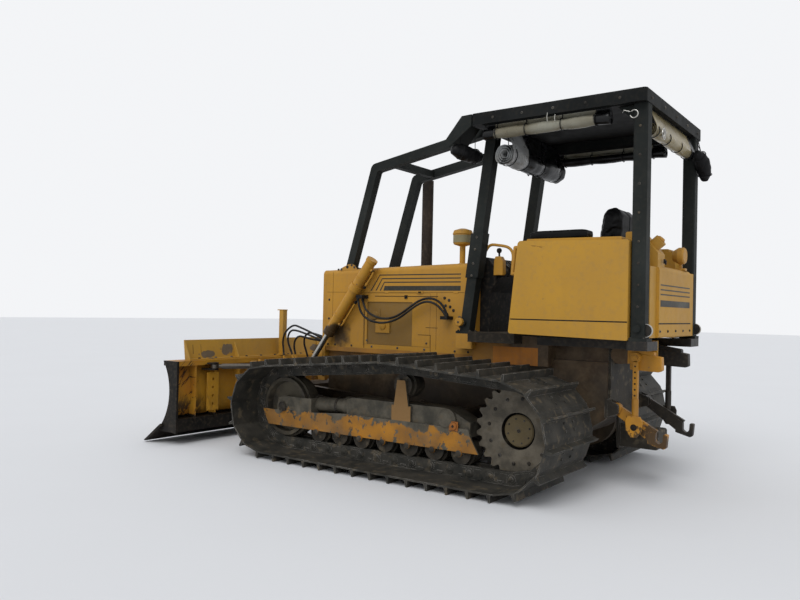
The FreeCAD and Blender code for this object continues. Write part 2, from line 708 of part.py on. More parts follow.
def air_precleaner():
    base = hood_top(CLEANER_X)
    outline = [(0, 0), (44, 0), (44, 14), (25, 22), (25, 168), (CLEANER_R - 8, 184), (CLEANER_R, 200),
               (CLEANER_R, 268), (CLEANER_R + 6, 274), (CLEANER_R - 6, 306), (30, 322), (0, 322)]
    whole = turned(outline, CLEANER_X, CLEANER_Y, base - 6, V(0, 0, 1))
    return above_hood(whole)


# Operator's place

def operator_deck():
    """Floor plate, toe board, side sills and the seat box."""
    z1 = DECK_Z + DECK_T
    wide = FENDER_Y0 - SEAT_GAP
    step = FENDER_Y0 + 160
    nose = FRONT_POST_FOOT_X - 82
    back = FENDER_REAR_X + 200
    front = HOOD_REAR_X - 1
    slim = FRONT_POST_Y - FRONT_POST / 2 - 6
    half = [(back, wide), (FENDER_FRONT_X + 6, wide), (FENDER_FRONT_X + 6, step), (nose, step),
            (nose, slim),
            (front, slim)]
    outline = half + [(x, -y) for x, y in reversed(half)]
    pieces = [prism_z(outline, DECK_Z + SEAT_GAP, z1)]
    for side in (-1, 1):
        y0 = side * (CHASSIS_HALF_W + SEAT_GAP)
        y1 = side * step
        pieces.append(box(FENDER_FRONT_X + 6, nose, min(y0, y1), max(y0, y1), DECK_Z - 60, DECK_Z + 1))
    step_z = SEAT_Z - 120
    pieces.append(box(SEAT_X - 330, SEAT_X + 200, -200, 200, z1 - 1, step_z))
    pieces.append(box(SEAT_X - 240, SEAT_X + 190, -170, 170, step_z - 1, SEAT_Z - SEAT_GAP))
    pieces.append(prism_y([(-960, z1 - 1), (-800, z1 - 1), (-800, z1 + 8), (-930, z1 + 70),
                           (-960, z1 + 70)],
                          -190, 190))
    return fuse(pieces)


def dashboard():
    """Instrument console behind the hood, with a sloping dial board."""
    z0 = DECK_Z + DECK_T + 0.3
    x1 = HOOD_REAR_X - 0.3
    outline = [(x1, z0), (x1, HOOD_TOP_REAR_Z + 20), (x1 - 50, HOOD_TOP_REAR_Z + 50),
               (x1 - 150, HOOD_TOP_REAR_Z - 60), (x1 - 150, HOOD_TOP_REAR_Z - 160), (x1 - 90, z0 + 330),
               (x1 - 90, z0)]
    body = prism_y(outline, -SWEEP_Y, SWEEP_Y, [0, 15, 20, 15, 15, 0, 0])
    dials = []
    way = V(-110, 0, 100).normalize()
    for y, radius in ((-170, 44), (-50, 44), (70, 44), (180, 30)):
        centre = V(x1 - 100, y, HOOD_TOP_REAR_Z - 5)
        dials.append(rod(centre - way * 14, centre + way * 7, radius))
    return fuse([body] + dials)


def control_levers():
    """Two transmission and steering levers on the console's left and the blade lever on its right."""
    parts = []
    x1 = HOOD_REAR_X - 150
    for y, lean in ((SWEEP_Y - 65, -60), (SWEEP_Y - 25, -90), (60 - SWEEP_Y, -75)):
        foot = V(x1 - 2 * SEAT_GAP, y, HOOD_TOP_REAR_Z - 110)
        bend = foot + V(-70, 0, 0)
        top = bend + V(lean, 0, 150)
        knob = turned([(0, -26), (15, -22), (23, -4), (20, 14), (9, 24), (0, 26)], top.x, top.y, top.z,
                      top - bend)
        elbow = across(bend.x, bend.z, y - 11, y + 11, 12)
        parts.append(fuse([rod(foot, bend, 9), rod(bend, top, 8), elbow, knob]))
    return Part.makeCompound(parts)


def fender():
    """Side box beside the seat, with a raised rim and the skirt's seam."""
    lean = FENDER_SLANT
    outline = [(FENDER_FRONT_X, DECK_Z + 25), (FENDER_FRONT_X - lean, FENDER_TOP_Z),
               (FENDER_REAR_X, FENDER_TOP_Z - 20), (FENDER_REAR_X, DECK_Z + 5)]
    body = prism_y(outline, FENDER_Y0 + 0.3, FENDER_Y1, [18, 30, 18, 12])
    seam_z = 1240
    seam = box(FENDER_REAR_X - 5, FENDER_FRONT_X + 5, FENDER_Y1 - 4, FENDER_Y1 + 5, seam_z, seam_z + 6)
    body = body.cut(seam)
    rest = prism_y([(FENDER_FRONT_X - lean - 60, FENDER_TOP_Z - 30),
                    (FENDER_REAR_X + 60, FENDER_TOP_Z - 40),
                    (FENDER_REAR_X + 60, FENDER_TOP_Z + 6),
                    (FENDER_FRONT_X - lean - 60, FENDER_TOP_Z + 14)],
                   FENDER_Y0 + 30, FENDER_Y1 - 30, [0, 0, 10, 10])
    return fuse([body, rest])


def fuel_tank():
    """Tank across the rear, with a bolted lower cover and the filler box on its left shoulder."""
    outline = [(TANK_X0, DECK_Z + 25), (TANK_X1, DECK_Z + 25), (TANK_X1, TANK_TOP_Z + 20),
               (TANK_X0, TANK_TOP_Z)]
    body = prism_y(outline, -TANK_HALF_W, TANK_HALF_W, [14, 14, 40, 40])
    seam = box(TANK_X0 - 5, TANK_X0 + 4, -TANK_HALF_W - 5, TANK_HALF_W + 5, 1232, 1238)
    body = body.cut(seam)
    filler = prism_y([(TANK_X0 + 15, TANK_TOP_Z - 30), (TANK_X1 - 60, TANK_TOP_Z - 10),
                      (TANK_X1 - 60, 1900),
                      (TANK_X1 - 165, 1900), (TANK_X0 + 15, 1740)], 250, 410, [0, 0, 14, 14, 14])
    slope = V(-(1900 - 1740), 0, (TANK_X1 - 165) - (TANK_X0 + 15)).normalize()
    centre = V((TANK_X0 + TANK_X1) / 2 - 90, 330, 1800)
    cap = rod(centre, centre + slope * 62, 46)
    wing_end = REAR_POST_Y - POST / 2 - 6
    wing = box(TANK_X0 + 20, FENDER_REAR_X - SEAT_GAP, -wing_end, wing_end, DECK_Z + 25, TANK_TOP_Z - 12)
    return fuse([body, filler, cap, wing])


def seat_cushion():
    x0 = SEAT_X - 250
    x1 = SEAT_X + 230
    outline = [(x0, SEAT_Z), (x1, SEAT_Z), (x1 + 15, SEAT_Z + 70), (x1 - 40, SEAT_Z + 125),
               (x0 + 60, SEAT_Z + 105), (x0, SEAT_Z + 110)]
    return prism_y(outline, -SEAT_HALF_W, SEAT_HALF_W, [10, 10, 25, 40, 20, 10])


def seat_back():
    x0 = SEAT_X - 250 - SEAT_GAP
    outline = [(x0, SEAT_Z + 20), (x0, SEAT_Z + 115), (x0 + 30, SEAT_Z + 118), (x0 - 60, SEAT_Z + 640),
               (x0 - 150, SEAT_Z + 660), (x0 - 190, SEAT_Z + 560), (x0 - 110, SEAT_Z + 20)]
    return prism_y(outline, -SEAT_HALF_W + 15, SEAT_HALF_W - 15, [8, 0, 15, 35, 35, 40, 15])


def armrest():
    x0 = FENDER_REAR_X + 330
    x1 = FENDER_FRONT_X - 120
    z0 = FENDER_TOP_Z + 14.3
    outline = [(FENDER_Y0 + 60, z0), (FENDER_Y1 - 80, z0), (FENDER_Y1 - 80, z0 + 62),
               (FENDER_Y0 + 60, z0 + 62)]
    return prism_x(outline, x0, x1, [8, 8, 24, 24])


def grab_rail():
    """Bent handrail from the front of the side box to the toe board."""
    y = FENDER_Y1 - 60
    z0 = 1590
    z1 = 1790
    x_low = FENDER_FRONT_X - FENDER_SLANT * (z0 - DECK_Z) / (FENDER_TOP_Z - DECK_Z) - 6
    x_high = FENDER_FRONT_X - FENDER_SLANT * (z1 - DECK_Z) / (FENDER_TOP_Z - DECK_Z) - 6
    out = 52
    knots = [V(x_low, y, z0), V(x_low + out, y, z0), V(x_high + out, y, z1), V(x_high, y, z1)]
    pieces = [rod(a, b, 14) for a, b in zip(knots, knots[1:])]
    pieces += [Part.makeSphere(14, knot) for knot in knots[1:3]]
    whole = fuse(pieces)
    fence = prism_y([(FENDER_FRONT_X, DECK_Z + 25), (FENDER_FRONT_X - FENDER_SLANT, FENDER_TOP_Z),
                     (FENDER_REAR_X, FENDER_TOP_Z), (FENDER_REAR_X, DECK_Z + 25)], FENDER_Y0, FENDER_Y1)
    return whole.cut(fence)


def work_lamp():
    """Round work lamp on a bracket on the tank's right shoulder, aimed to the rear."""
    x = TANK_X0 + 60
    y = -280
    z = TANK_TOP_Z + 118
    lens = turned([(0, 0), (58, 0), (66, 10), (66, 48), (40, 92), (0, 100)], x - 50, y, z, V(1, 0, 0))
    stem = box(x - 26, x - 6, y - 12, y + 12, TANK_TOP_Z, z - 55)
    foot = box(x - 55, x + 45, y - 30, y + 30, TANK_TOP_Z, TANK_TOP_Z + 18)
    below = prism_y([(TANK_X0, TANK_TOP_Z - 60), (TANK_X1, TANK_TOP_Z - 60),
                     (TANK_X1, TANK_TOP_Z + 20 + SEAT_GAP),
                     (TANK_X0, TANK_TOP_Z + SEAT_GAP)], y - 60, y + 60)
    return fuse([lens, stem, foot]).cut(below)


# Canopy

def canopy_roof():
    """Roof plate with a deep folded rim and two cross beams under it."""
    z1 = ROOF_TOP_Z
    z0 = z1 - ROOF_RIM
    outer = prism_z([(ROOF_X0, -ROOF_HALF_W), (ROOF_X1, -ROOF_HALF_W), (ROOF_X1, ROOF_HALF_W),
                     (ROOF_X0, ROOF_HALF_W)], z0, z1, 25)
    inner = prism_z([(ROOF_X0 + 14, -ROOF_HALF_W + 14), (ROOF_X1 - 14, -ROOF_HALF_W + 14),
                     (ROOF_X1 - 14, ROOF_HALF_W - 14), (ROOF_X0 + 14, ROOF_HALF_W - 14)], z0 - 1, z1 - 12,
                     12)
    pieces = [outer.cut(inner)]
    pieces.append(box(REAR_POST_X - 50, REAR_POST_X + 50, -ROOF_HALF_W + 10, ROOF_HALF_W - 10, z0, z1 - 6))
    pieces.append(box(FRONT_POST_TOP_X - 60, FRONT_POST_TOP_X + 15, -ROOF_HALF_W + 10, ROOF_HALF_W - 10,
                      z0, z1 - 6))
    for side in (-1, 1):
        y0 = side * (ROOF_HALF_W - 50)
        y1 = side * (ROOF_HALF_W - 150)
        pieces.append(box(REAR_POST_X, FRONT_POST_TOP_X, min(y0, y1), max(y0, y1), z0, z1 - 6))
    return fuse(pieces)


def rear_post():
    z1 = ROOF_TOP_Z - ROOF_RIM - SEAT_GAP
    x0 = REAR_POST_X - POST / 2
    x1 = REAR_POST_X + POST / 2
    y0 = REAR_POST_Y - POST / 2
    y1 = REAR_POST_Y + POST / 2
    shaft = prism_z([(x0, y0), (x1, y0), (x1, y1), (x0, y1)], DECK_Z + 22, z1, 12)
    foot = box(REAR_POST_X - 70, REAR_POST_X + 56, REAR_POST_Y - 55, REAR_POST_Y + 62, DECK_Z + 2,
               DECK_Z + 23)
    lug = across(REAR_POST_X, DECK_Z + 90, y1 - 5, y1 + 22, 26)
    gusset = prism_y([(x1 - 1, z1), (x1 + 120, z1), (x1 - 1, z1 - 120)], REAR_POST_Y - 8, REAR_POST_Y + 8)
    return fuse([shaft, foot, lug, gusset])


def front_post():
    z1 = ROOF_TOP_Z - ROOF_RIM - SEAT_GAP
    half = FRONT_POST / 2
    x0 = FRONT_POST_FOOT_X
    x1 = FRONT_POST_TOP_X
    shaft = prism_y([(x0 - half, DECK_Z + 22), (x0 + half, DECK_Z + 22), (x1 + half - 30, z1),
                     (x1 - half - 30, z1)], FRONT_POST_Y - half, FRONT_POST_Y + half)
    low = 0.28
    high = 0.50
    span = z1 - DECK_Z
    lean = x1 - 30 - x0
    wide = half + 12
    sleeve = prism_y([(x0 + lean * low - wide, DECK_Z + span * low),
                      (x0 + lean * low + wide, DECK_Z + span * low),
                      (x0 + lean * high + wide, DECK_Z + span * high),
                      (x0 + lean * high - wide, DECK_Z + span * high)],
                     FRONT_POST_Y - half, FRONT_POST_Y + half + 10)
    foot = box(x0 - 75, x0 + 75, FRONT_POST_Y - half - 4, FRONT_POST_Y + half + 14, DECK_Z + 2, DECK_Z + 23)
    lug = across(x0 + 10, DECK_Z + 90, FRONT_POST_Y + half - 5, FRONT_POST_Y + half + 26, 28)
    return fuse([shaft, sleeve, foot, lug])


def front_bracket():
    """Chassis bracket that carries a front post."""
    chassis = CHASSIS_HALF_W + SEAT_GAP
    outline = [(FRONT_POST_FOOT_X - 80, chassis), (CHASSIS_FRONT_X + SEAT_GAP, chassis),
               (CHASSIS_FRONT_X + SEAT_GAP, HOOD_HALF_W + 7), (FRONT_POST_FOOT_X + 80, HOOD_HALF_W + 7),
               (FRONT_POST_FOOT_X + 80, FRONT_POST_Y + 60), (FRONT_POST_FOOT_X - 80, FRONT_POST_Y + 60)]
    return prism_z(outline, DECK_Z - 120, DECK_Z + 1.7, [0, 0, 0, 0, 12, 12])


def rear_bracket():
    """Chassis beam and outrigger that carry a rear post."""
    chassis = CHASSIS_HALF_W + SEAT_GAP
    outline = [(-1050, chassis), (-1050, chassis + 50), (REAR_POST_X + 120, chassis + 50),
               (REAR_POST_X + 72, REAR_POST_Y + 62), (REAR_POST_X - 72, REAR_POST_Y + 62),
               (REAR_POST_X - 72, chassis)]
    return prism_z(outline, DECK_Z - 62, DECK_Z + 1.7, [0, 0, 40, 12, 12, 0])


def sweep():
    """Limb riser: a leg up from the hood and a beam back to the roof."""
    foot_z = hood_top(SWEEP_FOOT_X) + 8
    foot = V(SWEEP_FOOT_X, SWEEP_Y, foot_z)
    corner = V(SWEEP_CORNER_X, SWEEP_Y, SWEEP_CORNER_Z)
    end = V(ROOF_X1 + 0.3, SWEEP_Y, SWEEP_END_Z + SWEEP / 2)
    leg_way = (corner - foot).normalize()
    beam_way = (end - corner).normalize()
    half = SWEEP / 2
    leg_out = V(leg_way.z, 0, -leg_way.x)
    beam_up = V(-beam_way.z, 0, beam_way.x)
    if beam_up.z < 0:
        beam_up = beam_up * -1
    if leg_out.x < 0:
        leg_out = leg_out * -1

    def meet(p, u, q, w):
        det = u.x * w.z - u.z * w.x
        share = ((q.x - p.x) * w.z - (q.z - p.z) * w.x) / det
        return p + u * share
    outer = meet(foot + leg_out * half, leg_way, corner + beam_up * half, beam_way)
    inner = meet(foot - leg_out * half, leg_way, corner - beam_up * half, beam_way)
    end_top = meet(corner + beam_up * half, beam_way, end, V(0, 0, 1))
    end_low = meet(corner - beam_up * half, beam_way, end, V(0, 0, 1))
    foot_out = meet(foot + leg_out * half, leg_way, foot, V(1, 0, 0))
    foot_in = meet(foot - leg_out * half, leg_way, foot, V(1, 0, 0))
    outline = [foot_out, outer, end_top, end_low, inner, foot_in]
    shape = prism([p - V(0, half, 0) for p in outline], V(0, SWEEP, 0), [0, 60, 0, 0, 25, 0])
    shoe = box(SWEEP_FOOT_X - 90, SWEEP_FOOT_X + 90, SWEEP_Y - 60, SWEEP_Y + 20, foot_z - 20, foot_z + 6)
    return fuse([shape, above_hood(shoe)])


def crossbar():
    """Bar welded between the two limb risers behind their corners."""
    x = SWEEP_CORNER_X - 190
    slope = (SWEEP_END_Z - SWEEP_CORNER_Z) / (ROOF_X1 - SWEEP_CORNER_X)
    z = SWEEP_CORNER_Z + slope * (x - SWEEP_CORNER_X)
    end = SWEEP_Y - SWEEP / 2 + 1
    return box(x - 35, x + 35, -end, end, z - 30, z + 35)


def side_curtain():
    """Clear curtain rolled up along the roof's side."""
    y = ROOF_HALF_W - 62
    z = ROOF_TOP_Z - ROOF_RIM - SEAT_GAP
    outline = [(-55, -105), (20, -128), (58, -70), (48, -12), (28, 0), (-28, 0), (-55, -30)]
    return prism_x([(y + a, z + b) for a, b in outline], REAR_POST_X + POST / 2 + 160,
                   FRONT_POST_TOP_X - 60,
                   [25, 30, 25, 8, 0, 0, 15])


def rear_curtain():
    """Curtain rolled up under the back of the roof, on its flap."""
    x = REAR_POST_X - 10
    top = ROOF_TOP_Z - ROOF_RIM - SEAT_GAP
    outline = [(-20, 0), (-48, -60), (-62, -150), (-20, -205), (45, -190), (58, -120), (20, -70), (20, 0)]
    half = REAR_POST_Y - POST / 2 - 60
    return prism_y([(x + a, top + b) for a, b in outline], -half, half, [0, 20, 35, 30, 30, 25, 20, 0])


def front_curtain():
    """Clear front curtain, rolled and tied under the roof's front edge."""
    x = FRONT_POST_TOP_X - 195
    top = ROOF_TOP_Z - ROOF_RIM - SEAT_GAP
    outline = [(-30, 0), (-100, -130), (-110, -250), (-50, -330), (50, -330), (105, -240), (95, -130),
               (30, 0)]
    return prism_y([(x + a, top + b) for a, b in outline], -400, 595, [0, 60, 60, 60, 60, 60, 60, 0])


# Blade group

def push_frame():
    """Two arms on the hull's trunnions, the cross beam ahead of the hull and the tilt shaft."""
    low = ARM_PIVOT_Z - 60
    beam_low = NOSE_Z - 80
    beam_high = NOSE_Z + 95
    arm = [(ARM_PIVOT_X, ARM_PIVOT_Z - 68), (BEAM_X0 + 30, beam_low), (BEAM_X0 + 30, beam_high - 25),
           (BEAM_X0 - 120, beam_high - 25), (ARM_PIVOT_X + 200, ARM_PIVOT_Z + 62),
           (ARM_PIVOT_X, ARM_PIVOT_Z + 68)]
    pieces = []
    for side in (-1, 1):
        y0 = side * ARM_Y0
        y1 = side * ARM_Y1
        pieces.append(prism_y(arm, min(y0, y1), max(y0, y1), [0, 0, 0, 40, 40, 0]))
        pieces.append(across(ARM_PIVOT_X, ARM_PIVOT_Z, min(y0, y1), max(y0, y1), 68))
        for ear in (-1, 1):
            y = side * LIFT_Y + ear * (EYE_HALF + EYE_GAP + EAR / 2)
            pieces.append(prism_y([(LIFT_EYE.x - 55, beam_high - 2), (LIFT_EYE.x + 39, beam_high - 2),
                                   (LIFT_EYE.x + 34, LIFT_EYE.z + 28), (LIFT_EYE.x - 34, LIFT_EYE.z + 28)],
                                  y - EAR / 2, y + EAR / 2, [0, 0, 20, 20]))
    beam_end = LIFT_Y + EYE_HALF + EYE_GAP + EAR
    pieces.append(prism_y([(BEAM_X0, beam_low), (BEAM_X1, beam_low), (BEAM_X1, beam_high),
                           (BEAM_X0 + 25, beam_high),
                           (BEAM_X0, beam_high - 25)], -beam_end, beam_end))
    gap_box = box(LIFT_EYE.x - 60, LIFT_EYE.x + 60, LIFT_Y - EYE_HALF - EYE_GAP,
                  LIFT_Y + EYE_HALF + EYE_GAP,
                  LIFT_EYE.z - 48, LIFT_EYE.z + 80)
    nose = prism_z([(BEAM_X1 - 5, -210), (TILT_X - 30, -150), (TILT_X - 30, 150), (BEAM_X1 - 5, 210)],
                   beam_low, NOSE_Z + 50)
    pieces.append(nose)
    pieces.append(rod(V(TILT_X - 60, 0, NOSE_Z), V(KING_X - 105, 0, NOSE_Z), TILT_SHAFT_R))
    inner = EYE_HALF + EYE_GAP
    foot = TILT_LOW_Z - TILT_EYE_R - 8
    for ear in (-1, 1):
        x = TILT_X + ear * (inner + 8)
        pieces.append(box(x - 8, x + 8, TILT_Y - 34, TILT_Y + 34, foot - 14, TILT_LOW_Z + 18))
    pieces.append(box(TILT_X - inner - 16, TILT_X + inner + 16, TILT_Y - 34, TILT_Y + 34, foot - 14, foot))
    pieces.append(box(BEAM_X1 - 5, TILT_X - inner - 15, TILT_Y - 34, TILT_Y + 34, foot - 14,
                      TILT_LOW_Z + 18))
    pieces.append(box(BEAM_X1 - 5, TILT_X - TILT_BARREL_R - 14, TILT_Y - 34, TILT_Y + 34, foot - 14,
                      beam_low + 60))
    whole = fuse(pieces)
    whole = whole.cut(gap_box).cut(other_side(gap_box))
    for side in (-1, 1):
        y0 = side * (ARM_Y0 - 10)
        y1 = side * (ARM_Y1 + 10)
        whole = whole.cut(across(ARM_PIVOT_X, ARM_PIVOT_Z, min(y0, y1), max(y0, y1), TRUNNION_R + BORE_GAP))
    return whole


def blade_yoke():
    """Tilting carrier: hub on the tilt shaft, cross arm for the cylinders, ears for the kingpin."""
    hub = rod(V(TILT_X - 20, 0, NOSE_Z), V(KING_X - 110, 0, NOSE_Z), TILT_SHAFT_R + 36)
    arm_z0 = NOSE_Z + 98
    arm_z1 = ANGLE_ROOT.z - ANGLE_BARREL_R - 17
    rear = BEAM_X1 + 8
    arm = prism_z([(TILT_X - 15, -375), (TILT_X + 55, -375), (TILT_X + 120, -90), (TILT_X + 120, 90),
                   (TILT_X + 55, 340), (rear, 330), (rear, 230), (TILT_X - 15, 120),
                   (TILT_X - 15, -120), (rear, -230), (rear, -330), (TILT_X - 15, -336)],
                  arm_z0, arm_z1)
    saddle = box(TILT_X - 15, TILT_X + 100, -95, 95, NOSE_Z + 60, arm_z0 + 5)
    plate = prism_x([(-95, 300), (95, 300), (110, 480), (95, 665), (-95, 665), (-110, 480)],
                    KING_X - 112, KING_X - 72)
    pieces = [hub, arm, saddle, plate]
    for z0, z1 in ((605, 665), (300, 360)):
        pieces.append(prism_z([(KING_X - 80, -75), (KING_X, -62), (KING_X + 52, -30), (KING_X + 52, 30),
                               (KING_X, 62), (KING_X - 80, 75)], z0, z1, [0, 20, 25, 25, 20, 0]))
    pieces.append(upright(KING_X, 0, 300, 665, KING_R))
    pieces.append(upright(KING_X, 0, 664, 685, KING_R + 12))
    for side in (-1, 1):
        y = side * ANGLE_ROOT.y
        for z0, z1 in ((ANGLE_ROOT.z + EYE_HALF + EYE_GAP, ANGLE_ROOT.z + EYE_HALF + EYE_GAP + 16),
                       (arm_z1 - 2, ANGLE_ROOT.z - EYE_HALF - EYE_GAP)):
            pieces.append(upright(ANGLE_ROOT.x, y, z0, z1, 46))
        post_y0 = y - side * 76
        post_y1 = y - side * 50
        pieces.append(prism_z([(ANGLE_ROOT.x - 30, post_y0), (ANGLE_ROOT.x + 24, post_y0),
                               (ANGLE_ROOT.x + 24, post_y1), (ANGLE_ROOT.x - 30, post_y1)],
                              arm_z1 - 2, ANGLE_ROOT.z + EYE_HALF + EYE_GAP + 16))
        pieces.append(prism_z([(ANGLE_ROOT.x - 30, post_y0), (ANGLE_ROOT.x + 24, post_y0),
                               (ANGLE_ROOT.x + 24, y), (ANGLE_ROOT.x - 30, y)],
                              ANGLE_ROOT.z + EYE_HALF + EYE_GAP, ANGLE_ROOT.z + EYE_HALF + EYE_GAP + 16))
        pieces.append(upright(ANGLE_ROOT.x, y, arm_z1 - 2, ANGLE_ROOT.z + EYE_HALF + EYE_GAP + 10, 20))
    for ear in (-1, 1):
        x = TILT_X + ear * (EYE_HALF + EYE_GAP + 7)
        pieces.append(prism_x([(TILT_Y - 30, TILT_HIGH_Z - 30), (TILT_Y + 30, TILT_HIGH_Z - 30),
                               (TILT_Y + 30, arm_z0 + 4), (TILT_Y - 30, arm_z0 + 4)], x - 7, x + 7,
                               [20, 20, 0, 0]))
    whole = fuse(pieces)
    whole = whole.cut(rod(V(TILT_X - 100, 0, NOSE_Z), V(KING_X + 100, 0, NOSE_Z), TILT_SHAFT_R + BORE_GAP)
                      .common(box(TILT_X - 100, KING_X - 104, -200, 200, 0, 1000)))
    return whole


def blade_arc(offset):
    """Arc of the moldboard's section, as three points, moved back by offset."""
    return ((BLADE_TOP_X - offset, BLADE_TOP_Z), (BLADE_DEEP_X - offset, BLADE_MID_Z),
            (BLADE_LOW_X - offset, BLADE_LOW_Z))


def arc_prism(front, back, y0, y1):
    """Solid between two upright arcs."""
    def edge(points):
        a, b, c = [V(x, y0, z) for x, z in points]
        return Part.Arc(a, b, c).toShape()
    top = Part.LineSegment(V(front[0][0], y0, front[0][1]), V(back[0][0], y0, back[0][1])).toShape()
    low = Part.LineSegment(V(front[2][0], y0, front[2][1]), V(back[2][0], y0, back[2][1])).toShape()
    wire = Part.Wire([edge(front), low, edge(back[::-1]), top])
    return Part.Face(wire).extrude(V(0, y1 - y0, 0))


def end_plate(y0, y1):
    a, b, c = [V(x, y0, z) for x, z in blade_arc(0)]
    low_back = V(BLADE_BACK_X, y0, 110)
    high_back = V(BLADE_BACK_X, y0, BLADE_TOP_Z)
    wire = Part.Wire([Part.Arc(a, b, c).toShape(), Part.LineSegment(c, low_back).toShape(),
                      Part.LineSegment(low_back, high_back).toShape(),
                      Part.LineSegment(high_back, a).toShape()])
    return Part.Face(wire).extrude(V(0, y1 - y0, 0))


def blade():
    """Curved moldboard with end plates, ribs, cutting edge and end bits."""
    half = BLADE_HALF_W
    pieces = [arc_prism(blade_arc(0), blade_arc(BLADE_SKIN), -half + 5, half - 5)]
    top_back = BLADE_BEAM_X
    pieces.append(box(top_back, BLADE_TOP_X - 2, -half + 5, half - 5, BLADE_TOP_Z - 46, BLADE_TOP_Z))
    pieces.append(prism_y([(top_back + 18, 118), (BLADE_LOW_X - 4, 118), (BLADE_LOW_X - 4, 162),
                           (BLADE_LOW_X - 80, 235), (top_back + 18, 235)], -half + 5, half - 5))
    for side in (-1, 1):
        y0 = side * (half - 22)
        y1 = side * half
        pieces.append(end_plate(min(y0, y1), max(y0, y1)))
        for y in (260, ANGLE_EYE.y - 360, EAR_RIB_Y, ANGLE_EYE.y + 180):
            pieces.append(box(top_back + 10, BLADE_DEEP_X + 5, side * y - RIB_T / 2, side * y + RIB_T / 2,
                              200, BLADE_TOP_Z - 20))
        bolts_y0 = side * (BOLT_Y - 70)
        bolts_y1 = side * (BOLT_Y + 70)
        pieces.append(box(top_back + 2, top_back + 14, min(bolts_y0, bolts_y1), max(bolts_y0, bolts_y1),
                          290, 655))
    edge_dir = V(EDGE_X - BLADE_LOW_X, 0, EDGE_Z - BLADE_LOW_Z).normalize()
    edge_out = V(-edge_dir.z, 0, edge_dir.x)
    if edge_out.x < 0:
        edge_out = edge_out * -1

    def edge_outline(start):
        a = V(BLADE_LOW_X, 0, BLADE_LOW_Z) + edge_dir * start
        tip = V(EDGE_X, 0, EDGE_Z)
        back = a - edge_out * EDGE_T
        tip_back = tip - V(34, 0, 0)
        return [(a.x, a.z), (tip.x, tip.z), (tip_back.x, tip_back.z), (back.x, back.z)]
    pieces.append(prism_y(edge_outline(-30), -half + 260, half - 260))
    for side in (-1, 1):
        y0 = side * (half - 262)
        y1 = side * (half + END_BIT_OUT)
        pieces.append(prism_y(edge_outline(-52), min(y0, y1), max(y0, y1)))
    whole = fuse(pieces)
    for side in (-1, 1):
        y = side * ANGLE_EYE.y
        whole = whole.cut(upright(ANGLE_EYE.x, y, ANGLE_EYE.z - EYE_HALF - EYE_GAP,
                                  ANGLE_EYE.z + EYE_HALF + EYE_GAP, EYE_POCKET_R))
        for z in (350, 430, 510, 590):
            whole = whole.cut(rod(V(top_back - 5, side * BOLT_Y, z), V(top_back + 16, side * BOLT_Y, z),
                                  14))
    return whole


def blade_ears():
    """Left pair of ears for an angle cylinder's eye: on the top beam's back, and on the rib below it."""
    eye_x = ANGLE_EYE.x
    y = ANGLE_EYE.y
    back = eye_x - 26
    high = ANGLE_EYE.z + EYE_HALF + EYE_GAP
    low = ANGLE_EYE.z - EYE_HALF - EYE_GAP - BLADE_EAR
    seat = BLADE_BEAM_X - SEAT_GAP
    rib = EAR_RIB_Y + RIB_T / 2 + SEAT_GAP
    upper = prism_z([(back, y - 34), (seat, y - 60), (seat, y + 60), (back, y + 34)],
                    high, high + BLADE_EAR, [25, 0, 0, 25])
    lower = prism_z([(back, y - 34), (BLADE_BEAM_X + 10, rib), (BLADE_BEAM_X + 80, rib),
                     (BLADE_BEAM_X + 80, y + 60), (back, y + 34)], low, low + BLADE_EAR, [25, 0, 0, 0, 25])
    return Part.makeCompound([upper, lower])


def kingpin_block():
    """Block bolted to the middle of the moldboard's back, bored for the kingpin."""
    seat = arc_prism(blade_arc(-20), blade_arc(BLADE_SKIN + SEAT_GAP), -400, 400)
    whole = fuse([upright(KING_X, 0, 372, 594, KING_R + 24),
                  box(KING_X, BLADE_DEEP_X + 2, -60, 60, 372, 594),
                  prism_z([(KING_X + 75, -80), (BLADE_DEEP_X, -240), (BLADE_DEEP_X, 240),
                           (KING_X + 75, 80)],
                          400, 566)])
    return whole.cut(seat).cut(upright(KING_X, 0, 300, 660, KING_R + BORE_GAP))


def blade_extension():
    """Plate bolted along the moldboard's top, with its stiffening posts."""
    x0 = BLADE_BACK_X + 60
    z0 = BLADE_TOP_Z + 0.3
    face = prism_y([(x0 + 60, z0), (x0 + 76, z0), (x0 + 100, z0 + EXT_H), (x0 + 84, z0 + EXT_H)],
                   -EXT_HALF_W, EXT_HALF_W)
    pieces = [face, box(x0, x0 + 70, -EXT_HALF_W, EXT_HALF_W, z0, z0 + 12)]
    for y in (-EXT_HALF_W + 8, -EXT_HALF_W / 2, EXT_HALF_W / 2, EXT_HALF_W - 8):
        pieces.append(prism_y([(x0 + 4, z0 + 4), (x0 + 70, z0 + 4), (x0 + 88, z0 + EXT_H - 15)], y - 7,
                              y + 7))
    return fuse(pieces)


def blade_mast():
    """Square mast with a cap, bolted on the top plate's flange in the middle."""
    z0 = BLADE_TOP_Z + 12.6
    x0 = BLADE_BACK_X + 43
    half = MAST / 2
    pieces = [
        box(x0, x0 + MAST, -half, half, z0, MAST_TOP_Z - 9),
        box(x0 - 18, x0 + MAST + 8, -half - 16, half + 16, z0, z0 + 10),
        box(x0 - 3, x0 + MAST + 26, -half - 4, half + 4, MAST_TOP_Z - 10, MAST_TOP_Z),
    ]
    return fuse(pieces)


# Cylinders

def eye(centre, width_axis, radius=32.0):
    half = width_axis * EYE_HALF
    return rod(centre - half, centre + half, radius)


